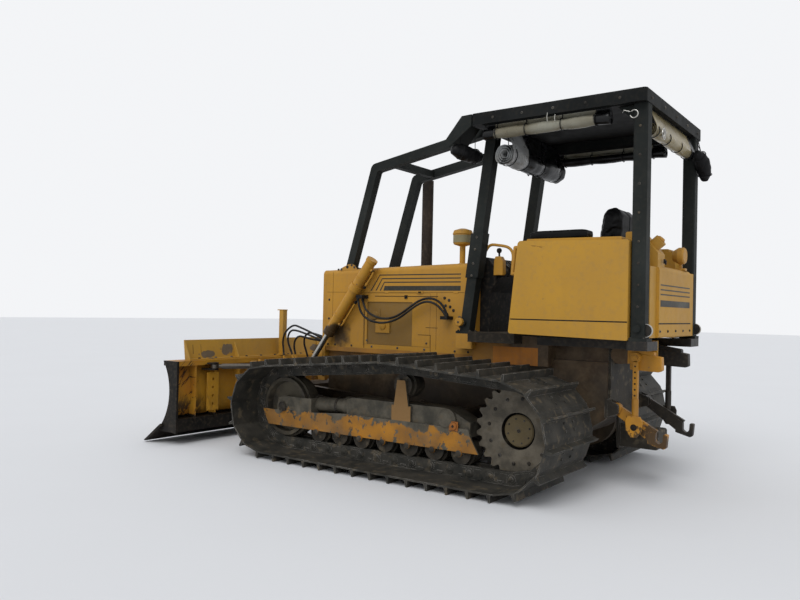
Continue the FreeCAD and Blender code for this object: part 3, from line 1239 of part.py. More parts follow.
def barrel_between(root, tip, back, front, radius, bore, ports_axis, bottom):
    """Tube from back behind root to front ahead of it, open at the gland, closed at the far end."""
    way = (tip - root).normalize()
    start = root - way * back
    end = root + way * front
    tube = rod(start, end, radius)
    gland = rod(end - way * 55, end, radius + 7)
    cap = rod(start, start + way * 30, radius + 5)
    hole = rod(start + way * bottom, end + way * 5, bore)
    pieces = [tube, gland, cap]
    for share in (0.10, 0.82):
        at = start + way * ((back + front) * share)
        pieces.append(rod(at, at + ports_axis * (radius + 24), 15))
    return fuse(pieces), hole


def lift_barrel():
    root = V(LIFT_TOP.x, LIFT_Y, LIFT_TOP.z)
    tip = V(LIFT_EYE.x, LIFT_Y, LIFT_EYE.z)
    way = (tip - root).normalize()
    body, hole = barrel_between(root, tip, LIFT_BACK, LIFT_FRONT, BARREL_R, ROD_R + BORE_GAP,
                                V(way.z, 0, -way.x), 45)
    collar = rod(root - way * 32, root + way * 32, BARREL_R + 11)
    stub = rod(root, V(root.x, HOOD_HALF_W - 70, root.z), TRUNNION_STUB_R)
    return fuse([body, collar, stub]).cut(hole)


def lift_rod():
    root = V(LIFT_TOP.x, LIFT_Y, LIFT_TOP.z)
    tip = V(LIFT_EYE.x, LIFT_Y, LIFT_EYE.z)
    way = (tip - root).normalize()
    shank = rod(tip - way * LIFT_ROD, tip - way * NECK, ROD_R)
    neck = rod(tip - way * (NECK + 5), tip - way * 10, NECK_R)
    return fuse([shank, neck, eye(tip, V(0, 1, 0))])


def angle_barrel():
    root = ANGLE_ROOT
    tip = ANGLE_EYE
    way = (tip - root).normalize()
    body, hole = barrel_between(root, tip, -62, ANGLE_BARREL, ANGLE_BARREL_R, ROD_R + BORE_GAP, V(0, 0, 1),
                                45)
    knuckle = rod(root - V(0, 0, EYE_HALF), root + V(0, 0, EYE_HALF), 40)
    neck = rod(root + way * 26, root + way * 70, 17)
    whole = fuse([body, knuckle, neck]).cut(hole)
    return whole.cut(rod(root - V(0, 0, 60), root + V(0, 0, 60), 20 + BORE_GAP))


def angle_rod():
    way = (ANGLE_EYE - ANGLE_ROOT).normalize()
    start = ANGLE_ROOT + way * ANGLE_ROD_START
    shank = rod(start, ANGLE_EYE - way * NECK, ROD_R)
    neck = rod(ANGLE_EYE - way * (NECK + 5), ANGLE_EYE - way * 20, NECK_R)
    knuckle = rod(ANGLE_EYE - V(0, 0, EYE_HALF), ANGLE_EYE + V(0, 0, EYE_HALF), 40)
    return fuse([shank, neck, knuckle])


def tilt_barrel():
    root = V(TILT_X, TILT_Y, TILT_LOW_Z)
    tip = V(TILT_X, TILT_Y, TILT_HIGH_Z)
    body, hole = barrel_between(root, tip, -26, 165, TILT_BARREL_R, TILT_ROD_R + BORE_GAP, V(1, 0, 0), 20)
    return fuse([body.cut(hole), eye(root, V(1, 0, 0), TILT_EYE_R)])


def tilt_rod():
    tip = V(TILT_X, TILT_Y, TILT_HIGH_Z)
    shank = rod(V(TILT_X, TILT_Y, TILT_LOW_Z + 98), tip, TILT_ROD_R)
    return fuse([shank, eye(tip, V(1, 0, 0), TILT_EYE_R)])


# Rear hitch

def rear_hitch():
    """Bracket plates on the rear case, the drawbar and the fixed pins of the links."""
    face = HULL_REAR_X - 0.3
    wide = HITCH_Y - 20
    plate = prism_x([(-130, 270), (130, 270), (150, 520), (wide, 530), (wide, 1060), (-wide, 1060),
                     (-wide, 530),
                     (-150, 520)], face - HITCH_PLATE, face, [20, 20, 0, 20, 20, 20, 20, 0])
    drawbar = prism_y([(face - 10, 285), (DRAWPIN_X - 50, 285), (DRAWPIN_X - 50, 430),
                       (DRAWPIN_X + 60, 430),
                       (face - 10, 470)], -110, 110, [0, 20, 20, 0, 0])
    pieces = [plate, drawbar]
    for side in (-1, 1):
        y = side * HITCH_Y
        for ear in (-1, 1):
            at = y + ear * 42
            pieces.append(prism_y([(face - 1, LOWER_Z - 70), (LOWER_X - 30, LOWER_Z - 34),
                                   (LOWER_X - 30, LOWER_Z + 34),
                                   (face - 1, LOWER_Z + 70)], at - 7, at + 7, [0, 24, 24, 0]))
        pieces.append(box(face - HITCH_PLATE, face, min(y - side * 50, y + side * 50),
                          max(y - side * 50, y + side * 50),
                          LOWER_Z - 70, LOWER_Z + 70))
        pieces.append(across(LOWER_X, LOWER_Z, y - 49, y + 49, 16))
        at = side * 230
        pieces.append(prism_y([(face - 1, ROCK_Z - 80), (ROCK_X - 30, ROCK_Z - 66), (ROCK_X - 66, ROCK_Z),
                               (ROCK_X - 30, ROCK_Z + 62), (face - 1, ROCK_Z + 60)], at - 22, at + 22,
                               [0, 30, 30, 30, 0]))
    whole = fuse(pieces)
    whole = whole.cut(across(ROCK_X, ROCK_Z, -400, 400, ROCK_R + BORE_GAP))
    return whole.cut(upright(DRAWPIN_X, 0, 200, 500, DRAWPIN_R))


def hitch_arms():
    """Rockshaft with its two lift arms."""
    pieces = [across(ROCK_X, ROCK_Z, -HITCH_Y - 30, HITCH_Y + 30, ROCK_R)]
    for side in (-1, 1):
        y = side * HITCH_Y
        arm = prism_y([(ROCK_X, ROCK_Z + 68), (ARM_END_X, ROCK_Z + 30), (ARM_END_X, ROCK_Z - 42),
                       (ROCK_X, ROCK_Z - 68)], y - 30, y + 30, [0, 15, 15, 0])
        pieces.append(arm)
        pieces.append(across(ROCK_X, ROCK_Z, y - 30, y + 30, 68))
        pieces.append(across(LINK_X, ROCK_Z - 12, y + side * 29, y + side * 84, 17))
    return fuse(pieces)


def lift_link(side):
    """Lift rod from an arm down to the lower link, with its turnbuckle clamp."""
    y = side * (HITCH_Y + 57)
    top_z = ROCK_Z - 12
    low_z = link_z(LINK_X)
    top = V(LINK_X, y, top_z)
    low = V(LINK_X, y, low_z)
    pieces = [
        across(LINK_X, top_z, y - 18, y + 18, 34),
        rod(top, low, 15),
        upright(LINK_X, y, low_z + 40, low_z + 190, 24),
        across(LINK_X, low_z, y - 16, y + 16, 36),
    ]
    whole = fuse(pieces)
    return whole.cut(across(LINK_X, top_z, y - 40, y + 40, 17 + BORE_GAP))


def link_z(x):
    share = (x - LOWER_X) / (HOOK_X + 70 - LOWER_X)
    return LOWER_Z + (HOOK_Z - LOWER_Z) * share


def lower_link(side):
    """Flat link with a ball end at the front and a claw at the tail."""
    y = side * HITCH_Y
    x1 = LOWER_X
    x2 = HOOK_X + 100
    z2 = HOOK_Z + 25
    slope = math.atan2(LOWER_Z - z2, x1 - x2)
    front = V(-math.sin(slope), 0, math.cos(slope)) * 34
    rear = V(-math.sin(slope), 0, math.cos(slope)) * 52
    body = prism_y([(x1 + front.x, LOWER_Z + front.z), (x2 + rear.x, z2 + rear.z),
                    (x2 - rear.x, z2 - rear.z),
                    (x1 - front.x, LOWER_Z - front.z)], y - 15, y + 15)
    claw = prism_y([(x2 + 40, z2 - 52), (HOOK_X + 10, HOOK_Z - 62), (HOOK_X, HOOK_Z + 48),
                    (HOOK_X + 30, HOOK_Z + 52),
                    (HOOK_X + 34, HOOK_Z - 4), (HOOK_X + 58, HOOK_Z - 26), (HOOK_X + 84, HOOK_Z - 4),
                    (HOOK_X + 84, HOOK_Z + 50), (x2 + 34, z2 + 60)], y - 22, y + 22,
                    [10, 22, 8, 8, 14, 14, 10, 10, 14])
    ball = across(x1, LOWER_Z, y - 26, y + 26, 42)
    boss = across(LINK_X, link_z(LINK_X), y + side * 14, y + side * 34, 30)
    whole = fuse([body, claw, ball, boss])
    return whole.cut(across(x1, LOWER_Z, y - 60, y + 60, 16 + BORE_GAP))


# Hoses, and the blocks that they are screwed into

def hose(points, radius):
    """Tube along straight runs joined by tangent arcs."""
    edges = []
    start = points[0]
    for i in range(1, len(points) - 1):
        before = points[i] - points[i - 1]
        after = points[i + 1] - points[i]
        half_turn = before.getAngle(after) / 2
        cut = 0.45 * min(before.Length, after.Length)
        bend = cut / math.tan(half_turn)
        back = (before * -1).normalize()
        ahead = V(after).normalize()
        first = points[i] + back * cut
        last = points[i] + ahead * cut
        inward = (back + ahead).normalize()
        middle = points[i] + inward * (bend / math.cos(half_turn) - bend)
        edges.append(Part.LineSegment(start, first).toShape())
        edges.append(Part.Arc(first, middle, last).toShape())
        HOSE_BENDS.append(bend)
        start = last
    edges.append(Part.LineSegment(start, points[-1]).toShape())
    spine = Part.Wire(edges)
    way = V(points[1] - points[0]).normalize()
    section = Part.Wire([Part.Circle(points[0], way, radius).toShape()])
    tube = spine.makePipeShell([section], True, False)
    print("hose length", round(spine.Length), "least bend", round(min(HOSE_BENDS)),
          "volume ratio", round(tube.Volume / (math.pi * radius ** 2 * spine.Length), 4))
    HOSE_BENDS.clear()
    return tube


def ferrule(points, length):
    """Stub that carries on from a hose's last point, in line with its last run."""
    end = points[-1]
    way = V(end - points[-2]).normalize()
    return rod(end + way * SEAT_GAP, end + way * length, FERRULE_R)


def side_hoses():
    """Two hoses along the hood from the lift cylinder's block back to the bulkhead."""
    upper = [V(x, y, z) for x, y, z in SIDE_UPPER]
    lower = [V(x, y, z) for x, y, z in SIDE_LOWER]
    return upper, lower


def side_fittings(upper, lower):
    out = HOOD_HALF_W + SEAT_GAP
    ahead = fuse([box(690, 758, out, upper[0].y + 40, 1392, 1424),
                  ferrule(upper[::-1], 40), ferrule(lower[::-1], 40)])
    behind = fuse([box(-228, -158, out, upper[0].y + 40, 1222, 1250),
                   ferrule(upper, 40), ferrule(lower, 40)])
    return [ahead, behind]


def front_paths():
    return [[V(x, y, z) for x, y, z in route] for route in FRONT_ROUTES]


def front_fitting(paths):
    x0 = HOOD_FRONT_X + 2 * SEAT_GAP + GRILLE_T
    block = box(x0, x0 + 12, 218, 344, 945, 1012)
    return fuse([block] + [ferrule(path[::-1], 18) for path in paths])


def hose_manifold(paths):
    """Gooseneck over the blade's yoke that carries the lower ends of the front hoses."""
    foot_z = NOSE_Z + 95 - 1
    neck = prism_y([(BEAM_X0 + 28, foot_z), (BEAM_X1 - 10, foot_z), (BEAM_X1 + 40, 702), (2039, 712),
                    (2039, 752),
                    (BEAM_X1 + 20, 746), (BEAM_X0 + 28, 660)], 94, 142, [0, 0, 30, 8, 8, 40, 20])
    under = box(BEAM_X0, BEAM_X1, 0, 200, 0, NOSE_Z + 95 + SEAT_GAP)
    stubs = [ferrule(path, (path[-1].z - 745) * 1.05) for path in paths]
    return fuse([neck] + stubs).cut(under)


def save_hoses():
    upper, lower = side_hoses()
    left = [hose(upper, HOSE_R), hose(lower, HOSE_R)]
    fittings = side_fittings(upper, lower)
    for name, tube in zip(("upper", "lower"), left):
        save("hose_left_" + name, tube)
        save("hose_right_" + name, other_side(tube))
    paths = front_paths()
    for k, path in enumerate(paths):
        save("hose_front_%d" % (k + 1), hose(path, HOSE_R))
    save("hose_fittings", Part.makeCompound(fittings + [other_side(f) for f in fittings] + [front_fitting(paths)]))
    save("hose_manifold", hose_manifold(paths))


# All pieces, in the order of assembly

FRONT_REACH = EDGE_X
REAR_REACH = HOOK_X
X_MID = (FRONT_REACH + REAR_REACH) / 2


def save(name, shape):
    placed = shape.copy()
    placed.translate(V(-X_MID, 0, 0))
    placed.exportStep("parts/%s.step" % name)


def main():
    loop = track()
    frame = track_frame()
    wheels = rollers()
    save("hull", hull())
    save("canopy_brackets", Part.makeCompound([pair(front_bracket()), pair(rear_bracket())]))
    save("equalizer_bar", equalizer())
    save("engine", engine())
    save("hood", hood())
    save("side_panels", pair(side_panel()))
    save("grille", grille())
    save("exhaust_stack", exhaust_stack())
    save("air_precleaner", air_precleaner())
    save("operator_deck", operator_deck())
    save("dashboard", dashboard())
    save("control_levers", control_levers())
    save("fenders", pair(fender()))
    save("fuel_tank", fuel_tank())
    save("seat_cushion", seat_cushion())
    save("seat_back", seat_back())
    save("armrests", pair(armrest()))
    save("grab_rails", pair(grab_rail()))
    save("work_lamp", work_lamp())
    save("canopy_roof", canopy_roof())
    save("canopy_posts", Part.makeCompound([pair(rear_post()), pair(front_post())]))
    save("sweeps", fuse([sweep(), other_side(sweep()), crossbar()]))
    save("side_curtains", pair(side_curtain()))
    save("rear_curtain", rear_curtain())
    save("front_curtain", front_curtain())
    save("track_left", loop)
    save("track_right", other_side(loop))
    save("track_frames", pair(frame))
    save("sprockets", pair(sprocket()))
    save("idlers", pair(idler()))
    save("track_rollers", Part.makeCompound(wheels + [other_side(w) for w in wheels]))
    save("push_frame", push_frame())
    save("blade_yoke", blade_yoke())
    save("blade", blade())
    save("blade_ears", pair(blade_ears()))
    save("kingpin_block", kingpin_block())
    save("blade_extension", blade_extension())
    save("blade_mast", blade_mast())
    save("lift_barrels", pair(lift_barrel()))
    save("lift_rods", pair(lift_rod()))
    save("angle_barrel_left", angle_barrel())
    save("angle_barrel_right", other_side(angle_barrel()))
    save("angle_rod_left", angle_rod())
    save("angle_rod_right", other_side(angle_rod()))
    save("tilt_barrel", tilt_barrel())
    save("tilt_rod", tilt_rod())
    save("rear_hitch", rear_hitch())
    save("hitch_arms", hitch_arms())
    save("lift_links", Part.makeCompound([lift_link(1), lift_link(-1)]))
    save("lower_links", Part.makeCompound([lower_link(1), lower_link(-1)]))
    save_hoses()
    print("X_MID", X_MID, "BASE", round(BASE, 2), "SPROCKET_Z", round(SPROCKET_Z, 2), "IDLER_Z", IDLER_Z)


main()
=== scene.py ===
"""Looks of a crawler bulldozer, laid over its CAD frame.

Lengths in the tables are millimetres about the track centre, as in the part's source.
place() turns them into the frame's metres. Colours are screen values from 0 to 255.
"""
import math
import bmesh
import bpy
from mathutils import Matrix, Vector, noise


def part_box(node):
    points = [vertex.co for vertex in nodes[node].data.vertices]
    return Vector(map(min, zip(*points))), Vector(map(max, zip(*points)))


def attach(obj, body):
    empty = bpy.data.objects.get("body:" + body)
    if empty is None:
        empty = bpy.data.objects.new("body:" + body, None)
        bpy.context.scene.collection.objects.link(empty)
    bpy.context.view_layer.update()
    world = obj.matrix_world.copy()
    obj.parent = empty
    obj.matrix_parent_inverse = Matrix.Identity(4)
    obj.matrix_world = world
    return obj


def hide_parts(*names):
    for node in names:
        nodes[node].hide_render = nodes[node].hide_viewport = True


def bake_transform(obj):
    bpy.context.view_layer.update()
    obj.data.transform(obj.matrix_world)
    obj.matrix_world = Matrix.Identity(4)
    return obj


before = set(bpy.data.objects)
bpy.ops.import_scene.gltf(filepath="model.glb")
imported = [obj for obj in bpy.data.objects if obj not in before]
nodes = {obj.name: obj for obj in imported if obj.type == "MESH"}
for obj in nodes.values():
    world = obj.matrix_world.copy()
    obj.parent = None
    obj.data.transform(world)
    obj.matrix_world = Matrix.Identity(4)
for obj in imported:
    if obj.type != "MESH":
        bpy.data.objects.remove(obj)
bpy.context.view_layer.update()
X_MID = 260.0
AHEAD = (1, 0, 0)
BACK = (-1, 0, 0)
OUT = (0, 1, 0)
UP = (0, 0, 1)


def place(x, y, z):
    return Vector(((x - X_MID) / 1000, y / 1000, z / 1000))


def link(obj):
    bpy.context.scene.collection.objects.link(obj)
    return obj


# Camera

CAMERA_AT = Vector((-3.800, 5.749, 1.290))
CAMERA_YAW = math.radians(-54.13)
CAMERA_PITCH = math.radians(0.81)
CAMERA_ROLL = math.radians(1.244)
CAMERA_LENS = 33.36


def make_camera():
    ahead = Vector((math.cos(CAMERA_PITCH) * math.cos(CAMERA_YAW),
                    math.cos(CAMERA_PITCH) * math.sin(CAMERA_YAW), math.sin(CAMERA_PITCH)))
    level = Vector((math.sin(CAMERA_YAW), -math.cos(CAMERA_YAW), 0))
    up = level.cross(ahead)
    right = level * math.cos(CAMERA_ROLL) + up * math.sin(CAMERA_ROLL)
    top = up * math.cos(CAMERA_ROLL) - level * math.sin(CAMERA_ROLL)
    data = bpy.data.cameras.new("camera")
    data.sensor_width = 36
    data.sensor_fit = "HORIZONTAL"
    data.lens = CAMERA_LENS
    data.clip_end = 200
    camera = link(bpy.data.objects.new("camera", data))
    turn = Matrix((right, top, -ahead)).transposed()
    camera.matrix_world = Matrix.Translation(CAMERA_AT) @ turn.to_4x4()
    bpy.context.scene.camera = camera


make_camera()

# Node materials


def linear(colour):
    return tuple(((c / 255 + 0.055) / 1.055) ** 2.4 if c > 10 else c / 255 / 12.92 for c in colour) + (1.0,)


def feed(tree, socket, value):
    if isinstance(value, Field):
        value = value.socket
    if isinstance(value, bpy.types.NodeSocket):
        tree.links.new(value, socket)
    else:
        socket.default_value = value


def add_node(tree, kind, values=(), **settings):
    """New shader node, its sockets set or linked from values."""
    node = tree.nodes.new("ShaderNode" + kind)
    for key, value in settings.items():
        setattr(node, key, value)
    for key, value in dict(values).items():
        feed(tree, node.inputs[key], value)
    return node


class Field:
    """A value that varies over a surface; arithmetic on it adds nodes."""

    def __init__(self, shade, socket):
        self.shade = shade
        self.socket = socket

    def __add__(self, other):
        return self.shade.math("ADD", self, other)

    def __sub__(self, other):
        return self.shade.math("SUBTRACT", self, other)

    def __mul__(self, other):
        return self.shade.math("MULTIPLY", self, other)

    def __truediv__(self, other):
        return self.shade.math("DIVIDE", self, other)

    def __or__(self, other):
        return self.shade.math("MAXIMUM", self, other)

    def __abs__(self):
        return self.shade.math("ABSOLUTE", self, 0.0)

    def root(self):
        return self.shade.math("SQRT", self, 0.0)

    def step(self, low, high):
        """0 at low and 1 at high, smooth between."""
        values = {"Value": self, "From Min": min(low, high), "From Max": max(low, high),
                  "To Min": float(high < low), "To Max": float(high >= low)}
        node = self.shade.add("MapRange", values, interpolation_type="SMOOTHSTEP")
        return Field(self.shade, node.outputs["Result"])

    def between(self, low, high):
        return self.step(low - 0.0005, low + 0.0005) * self.step(high + 0.0005, high - 0.0005)


class Shade:
    """A material whose nodes are added one at a time."""

    def __init__(self, name, rough=0.5, metal=0.0, shine=0.3, extra=()):
        self.material = bpy.data.materials.new(name)
        self.material.use_nodes = True
        self.tree = self.material.node_tree
        self.tree.nodes.clear()
        values = {"Roughness": rough, "Metallic": metal, "Specular IOR Level": shine, **dict(extra)}
        self.bsdf = self.add("BsdfPrincipled", values)
        self.add("OutputMaterial", {0: self.bsdf.outputs[0]})
        self.where = self.add("TexCoord").outputs["Object"]
        self.normal = self.add("NewGeometry").outputs["Normal"]
        self.x, self.y, self.z = self.split(self.where)
        self.facing_x, self.facing_y, self.facing_z = self.split(self.normal)

    def add(self, kind, values=(), **settings):
        return add_node(self.tree, kind, values, **settings)

    def split(self, vector):
        return [Field(self, part) for part in self.add("SeparateXYZ", {0: vector}).outputs]

    def math(self, kind, a, b):
        return Field(self, self.add("Math", {0: a, 1: b}, operation=kind).outputs[0])

    def noise(self, scale, detail=3.0, stretch=(1, 1, 1), shift=0.0, rough=0.5, turn=0.0):
        """Clouds of values about a half; turn leans their stretch in the plane of Y and Z."""
        where = self.where
        if turn:
            where = self.add("Mapping", {"Vector": where, "Rotation": (turn, 0, 0)}).outputs[0]
        moved = {"Vector": where, "Scale": stretch, "Location": (shift, shift * 0.7, shift * 1.3)}
        values = {"Vector": self.add("Mapping", moved).outputs[0], "Scale": scale, "Detail": detail,
                  "Roughness": rough}
        return Field(self, self.add("TexNoise", values).outputs["Fac"])

    def rag(self, scale, detail, shift, size, rough=0.5):
        """Noise about zero, to be added to a coordinate so that an edge comes out ragged."""
        return (self.noise(scale, detail, shift=shift, rough=rough) - 0.5) * size

    def oval(self, first, second, middle, half):
        """Square of the distance from the middle of an oval, 1 on its rim."""
        a = (first - middle[0]) / half[0]
        b = (second - middle[1]) / half[1]
        return a * a + b * b

    def mix(self, share, a, b):
        a, b = (linear(colour) if isinstance(colour, tuple) else colour for colour in (a, b))
        return Field(self, self.add("Mix", {"Factor": share, 6: a, 7: b}, data_type="RGBA").outputs[2])

    def mottle(self, a, b, *pattern, **more):
        """Two colours mixed by noise."""
        return self.mix(self.noise(*pattern, **more), a, b)

    def bump(self, height, strength, distance):
        values = {"Strength": strength, "Distance": distance, "Height": height}
        feed(self.tree, self.bsdf.inputs["Normal"], self.add("Bump", values).outputs[0])

    def edge(self, radius=0.006):
        """Near 1 along sharp edges."""
        rounded = self.add("Bevel", {"Radius": radius}, samples=4).outputs[0]
        dot = self.add("VectorMath", {0: rounded, 1: self.normal}, operation="DOT_PRODUCT")
        return Field(self, dot.outputs["Value"]).step(0.97, 0.85)

    def finish(self, colour, rough):
        feed(self.tree, self.bsdf.inputs["Base Color"], colour)
        feed(self.tree, self.bsdf.inputs["Roughness"], rough)
        return self.material


DUST = (118, 104, 84)
MUD = (62, 55, 46)
RUST = (92, 52, 30)
BARE = (96, 92, 88)


def weathered(name, base, faded, dirt=0.5, chips=0.5, rough=0.5, over=None, shine=0.3, dust=0.16):
    """Old enamel: faded patches, streaks under edges, dust on top, chips down to rust along edges."""
    s = Shade(name, rough, shine=shine)
    colour = s.mix(s.noise(1.6, 4).step(0.35, 0.7), base, faded)
    if over is not None:
        colour = over(s, colour)
    colour = s.mix(s.noise(34, 5, shift=2.0).step(0.45, 0.75) * dust, colour, DUST)
    colour = s.mix(s.noise(9, 4, (1, 1, 0.12), 5.0).step(0.52, 0.8) * (0.35 * dirt), colour, MUD)
    top = s.facing_z.step(0.55, 0.95) * s.noise(7, 5, shift=9.0).step(0.25, 0.75) * (0.55 * dirt)
    colour = s.mix(top, colour, DUST)
    low = s.z.step(1.15, 0.55) * s.noise(5, 6, shift=14.0).step(0.3, 0.65) * (0.75 * dirt)
    colour = s.mix(low, colour, MUD)
    chip = s.noise(26, 6, shift=21.0, rough=0.65).step(0.70 - 0.04 * chips, 0.73 - 0.04 * chips)
    worn = s.edge() * s.noise(11, 5, shift=27.0).step(0.5, 0.62)
    mark = chip * 0.8 | worn * max(0.0, 0.75 * chips)
    colour = s.mix(mark, colour, s.mottle(RUST, BARE, 60, 2))
    s.bump(s.noise(3.2, 4, shift=31.0) * 0.6 - mark * 0.25, 0.35, 0.003)
    return s.finish(colour, s.noise(12, 3, shift=3.0) * 0.25 + (rough - 0.1))


def blade_coat(s, colour):
    """Black lower strip and end plates, worn steel in front, dark stains near the ends."""
    y = abs(s.y)
    orange = y.step(1.05, 1.2) * s.noise(4, 4, shift=33.0).step(0.35, 0.6) * 0.7
    colour = s.mix(orange, colour, (170, 104, 34))
    scratch = (s.noise(9, 5, (1, 0.5, 5), 44.0, 0.6, 0.75).step(0.575, 0.60) * y.step(1.02, 1.12)
               * s.noise(6, 3, shift=47.0).step(0.4, 0.5))
    stain = (s.noise(12, 7, (1, 1, 0.35), 49.0, 0.7).step(0.50, 0.55) * s.z.step(0.50, 0.34)
             * y.step(0.9, 1.15))
    colour = s.mix((scratch | stain) * 0.9, colour, (38, 30, 30))
    strip = y.between(0.767, 0.907) * s.z.between(0.285, 0.66) * s.x.step(1.874, 1.872)
    colour = s.mix(strip, colour, (46, 44, 40))
    low = (s.z + s.noise(8, 3, shift=40.0) * 0.05).step(0.290, 0.280)
    colour = s.mix(low | y.step(1.3965, 1.3975), colour, s.mottle((8, 8, 8), (26, 25, 23), 14, 4))
    front = s.facing_x.step(0.2, 0.45) * s.x.step(1.884, 1.890)
    return s.mix(front, colour, s.mottle((92, 80, 70), (140, 132, 124), 22, 6, (1, 0.15, 1)))


def top_plate_coat(s, colour):
    """Grey patches where the paint of the bolted top plate has come off."""
    bare = None
    for middle, half in (((0.972, 0.825), (0.095, 0.040)), ((0.730, 0.870), (0.090, 0.055)),
                         ((-0.62, 0.84), (0.12, 0.04))):
        patch = (s.oval(s.y, s.z, middle, half).root() + s.rag(16, 4, 60.0, 1.6)).step(1.05, 0.95)
        bare = patch if bare is None else bare | patch
    lines = (s.y.between(1.136, 1.144) | s.y.between(1.042, 1.048)) * s.z.between(0.83, 0.92) * 0.8
    colour = s.mix(lines, colour, (70, 54, 34))
    return s.mix(bare * 0.92, colour, s.mottle((84, 76, 66), (116, 106, 94), 20, 4))


def grease(s, colour):
    """Black smear on the hood's side, beside the lift cylinders' glands."""
    away = s.oval(s.x, s.z, (0.76, 1.07), (0.12, 0.15)) + s.rag(12, 5, 61.0, 2.2)
    return s.mix(away.step(1.3, 0.1) * 0.88, colour, (30, 26, 22))


def panel_coat(s, colour):
    """Brown dirt on the lift-off panel."""
    panel = s.z.step(1.366, 1.364) * s.x.step(-0.066, -0.064) * s.x.step(0.441, 0.439) * 0.85
    return s.mix(panel, grease(s, colour), s.mottle((104, 80, 40), (128, 98, 46), 2.4, 4, shift=6.0))


def cleaner_coat(s, colour):
    """Dusty clear bowl."""
    bowl = s.z.step(1.890, 1.892) * s.z.step(1.956, 1.954)
    return s.mix(bowl, colour, s.mottle((120, 112, 84), (150, 142, 110), 9, 4))


def bracket_coat(s, colour):
    """Yellow in front, black behind."""
    return s.mix(s.x.step(-0.82, -0.78), s.mottle((17, 16, 15), (36, 33, 29), 8, 6), colour)


def grille_coat(s, colour):
    """Black bars in a yellow guard."""
    window = abs(s.y).step(0.337, 0.336) * s.z.between(0.979, 1.593)
    return s.mix(window, colour, s.mottle((20, 20, 20), (42, 40, 36), 12, 4))


def hitch_coat(s, colour):
    """The right-hand linkage is black, the left one yellow with worn patches."""
    worn = s.noise(7.5, 6, shift=71.0, rough=0.65).step(0.50, 0.54) * s.z.step(0.62, 0.50) * 0.85
    colour = s.mix(worn, colour, (30, 28, 26))
    shaft = s.x.step(-1.985, -1.975) * s.z.step(0.84, 0.86) * 0.9
    colour = s.mix(shaft, colour, (44, 38, 31))
    return s.mix(s.y.step(0.01, -0.01), colour, s.mottle((22, 21, 20), (44, 41, 37), 11, 5))


def fender_coat(s, colour):
    """Bronze scratches near the front top corner of the left box."""
    line = (s.x.between(-1.50, -1.32) * s.noise(14, 5, (1, 1, 6), 77.0).step(0.52, 0.56)
            * (s.z + s.x * -0.14).between(1.976, 1.990))
    return s.mix(line * 0.8, colour, (96, 62, 26))


def barrel_coat(s, colour):
    """Grease and dirt on the lower end."""
    return s.mix((s.z + s.rag(9, 5, 81.0, 0.22)).step(1.165, 1.125) * 0.9, colour, (34, 30, 26))


def roof_underside_shade(s, colour):
    """Painted shade: faces that look downward are made nearly black."""
    return s.mix(s.facing_z.step(-0.5, -0.7), colour, (14, 14, 14))


def hull_coat(s, colour):
    """The hull's belly and drive cases are more mud than paint."""
    mud = s.mix(s.noise(10, 7, rough=0.6).step(0.3, 0.7), (34, 30, 27), (84, 74, 60))
    low = (s.z + s.noise(4, 5, shift=3.0) * 0.3).step(1.05, 0.95)
    rear = (s.x + s.noise(4, 4, shift=8.0) * 0.2).step(-0.85, -1.0)
    colour = s.mix(low * 0.93 | rear * 0.9, colour, mud)
    clean = (s.x.between(-1.295, -0.90) * abs(s.y).between(0.42, 0.47) * s.z.between(0.845, 1.02)
             * s.noise(5, 5, shift=88.0).step(0.30, 0.42))
    return s.mix(clean * 0.9, colour, (196, 122, 36))


def iron(name, dark, light, worn=0.6, under=None, over=None):
    """Cast iron and plate under dried mud, bright where it rubs."""
    s = Shade(name, 0.75, shine=0.22)
    colour = s.mix(s.noise(7, 7, rough=0.62).step(0.3, 0.7), dark, light)
    if under is not None:
        colour = under(s, colour)
    colour = s.mix(s.noise(17, 6, shift=4.0).step(0.55, 0.7) * 0.7, colour, (96, 86, 70))
    rubbed = s.edge(0.005) * s.noise(9, 5, shift=7.0).step(0.42, 0.6) * worn
    colour = s.mix(rubbed, colour, (150, 146, 140))
    if over is not None:
        colour = over(s, colour)
    s.bump(s.noise(24, 8, shift=17.0, rough=0.7), 0.6, 0.006)
    return s.finish(colour, s.noise(14, 4) * 0.3 + 0.5)


def girder_coat(s, colour):
    """Chipped ochre along the girder's lower half, and a brown plate on its outer face."""
    outer = abs(s.y).step(1.0205, 1.0215)
    strip = (s.z + s.rag(6.5, 7, 12.0, 0.34, 0.66)).step(0.402, 0.392) * outer
    ochre = s.mix(s.noise(5, 4, shift=2.0).step(0.3, 0.7), (182, 124, 40), (140, 98, 46))
    chips = s.noise(15, 7, (1, 1, 0.7), 93.0, 0.68).step(0.58, 0.56)
    film = s.math("SUBTRACT", 1.0, s.noise(4, 6, shift=97.0, rough=0.6).step(0.46, 0.62) * 0.4)
    colour = s.mix(strip * chips * film * 0.95, colour, ochre)
    plate = s.x.step(-0.565, -0.560) * s.x.step(-0.255, -0.260) * outer * s.z.step(0.425, 0.43)
    return s.mix(plate * s.noise(3, 3, shift=5.0).step(0.3, 0.4), colour, (138, 106, 66))


def steel(name, colour, rough):
    """Bare metal with fine marks along its length."""
    s = Shade(name, rough, 1.0)
    tone = s.mix(s.noise(40, 3, (1, 1, 0.1)) * 0.5, colour, (120, 116, 110))
    s.bump(s.noise(120, 2, (1, 1, 0.05)), 0.08, 0.001)
    return s.finish(tone, s.noise(18, 4) * 0.2 + (rough - 0.1))


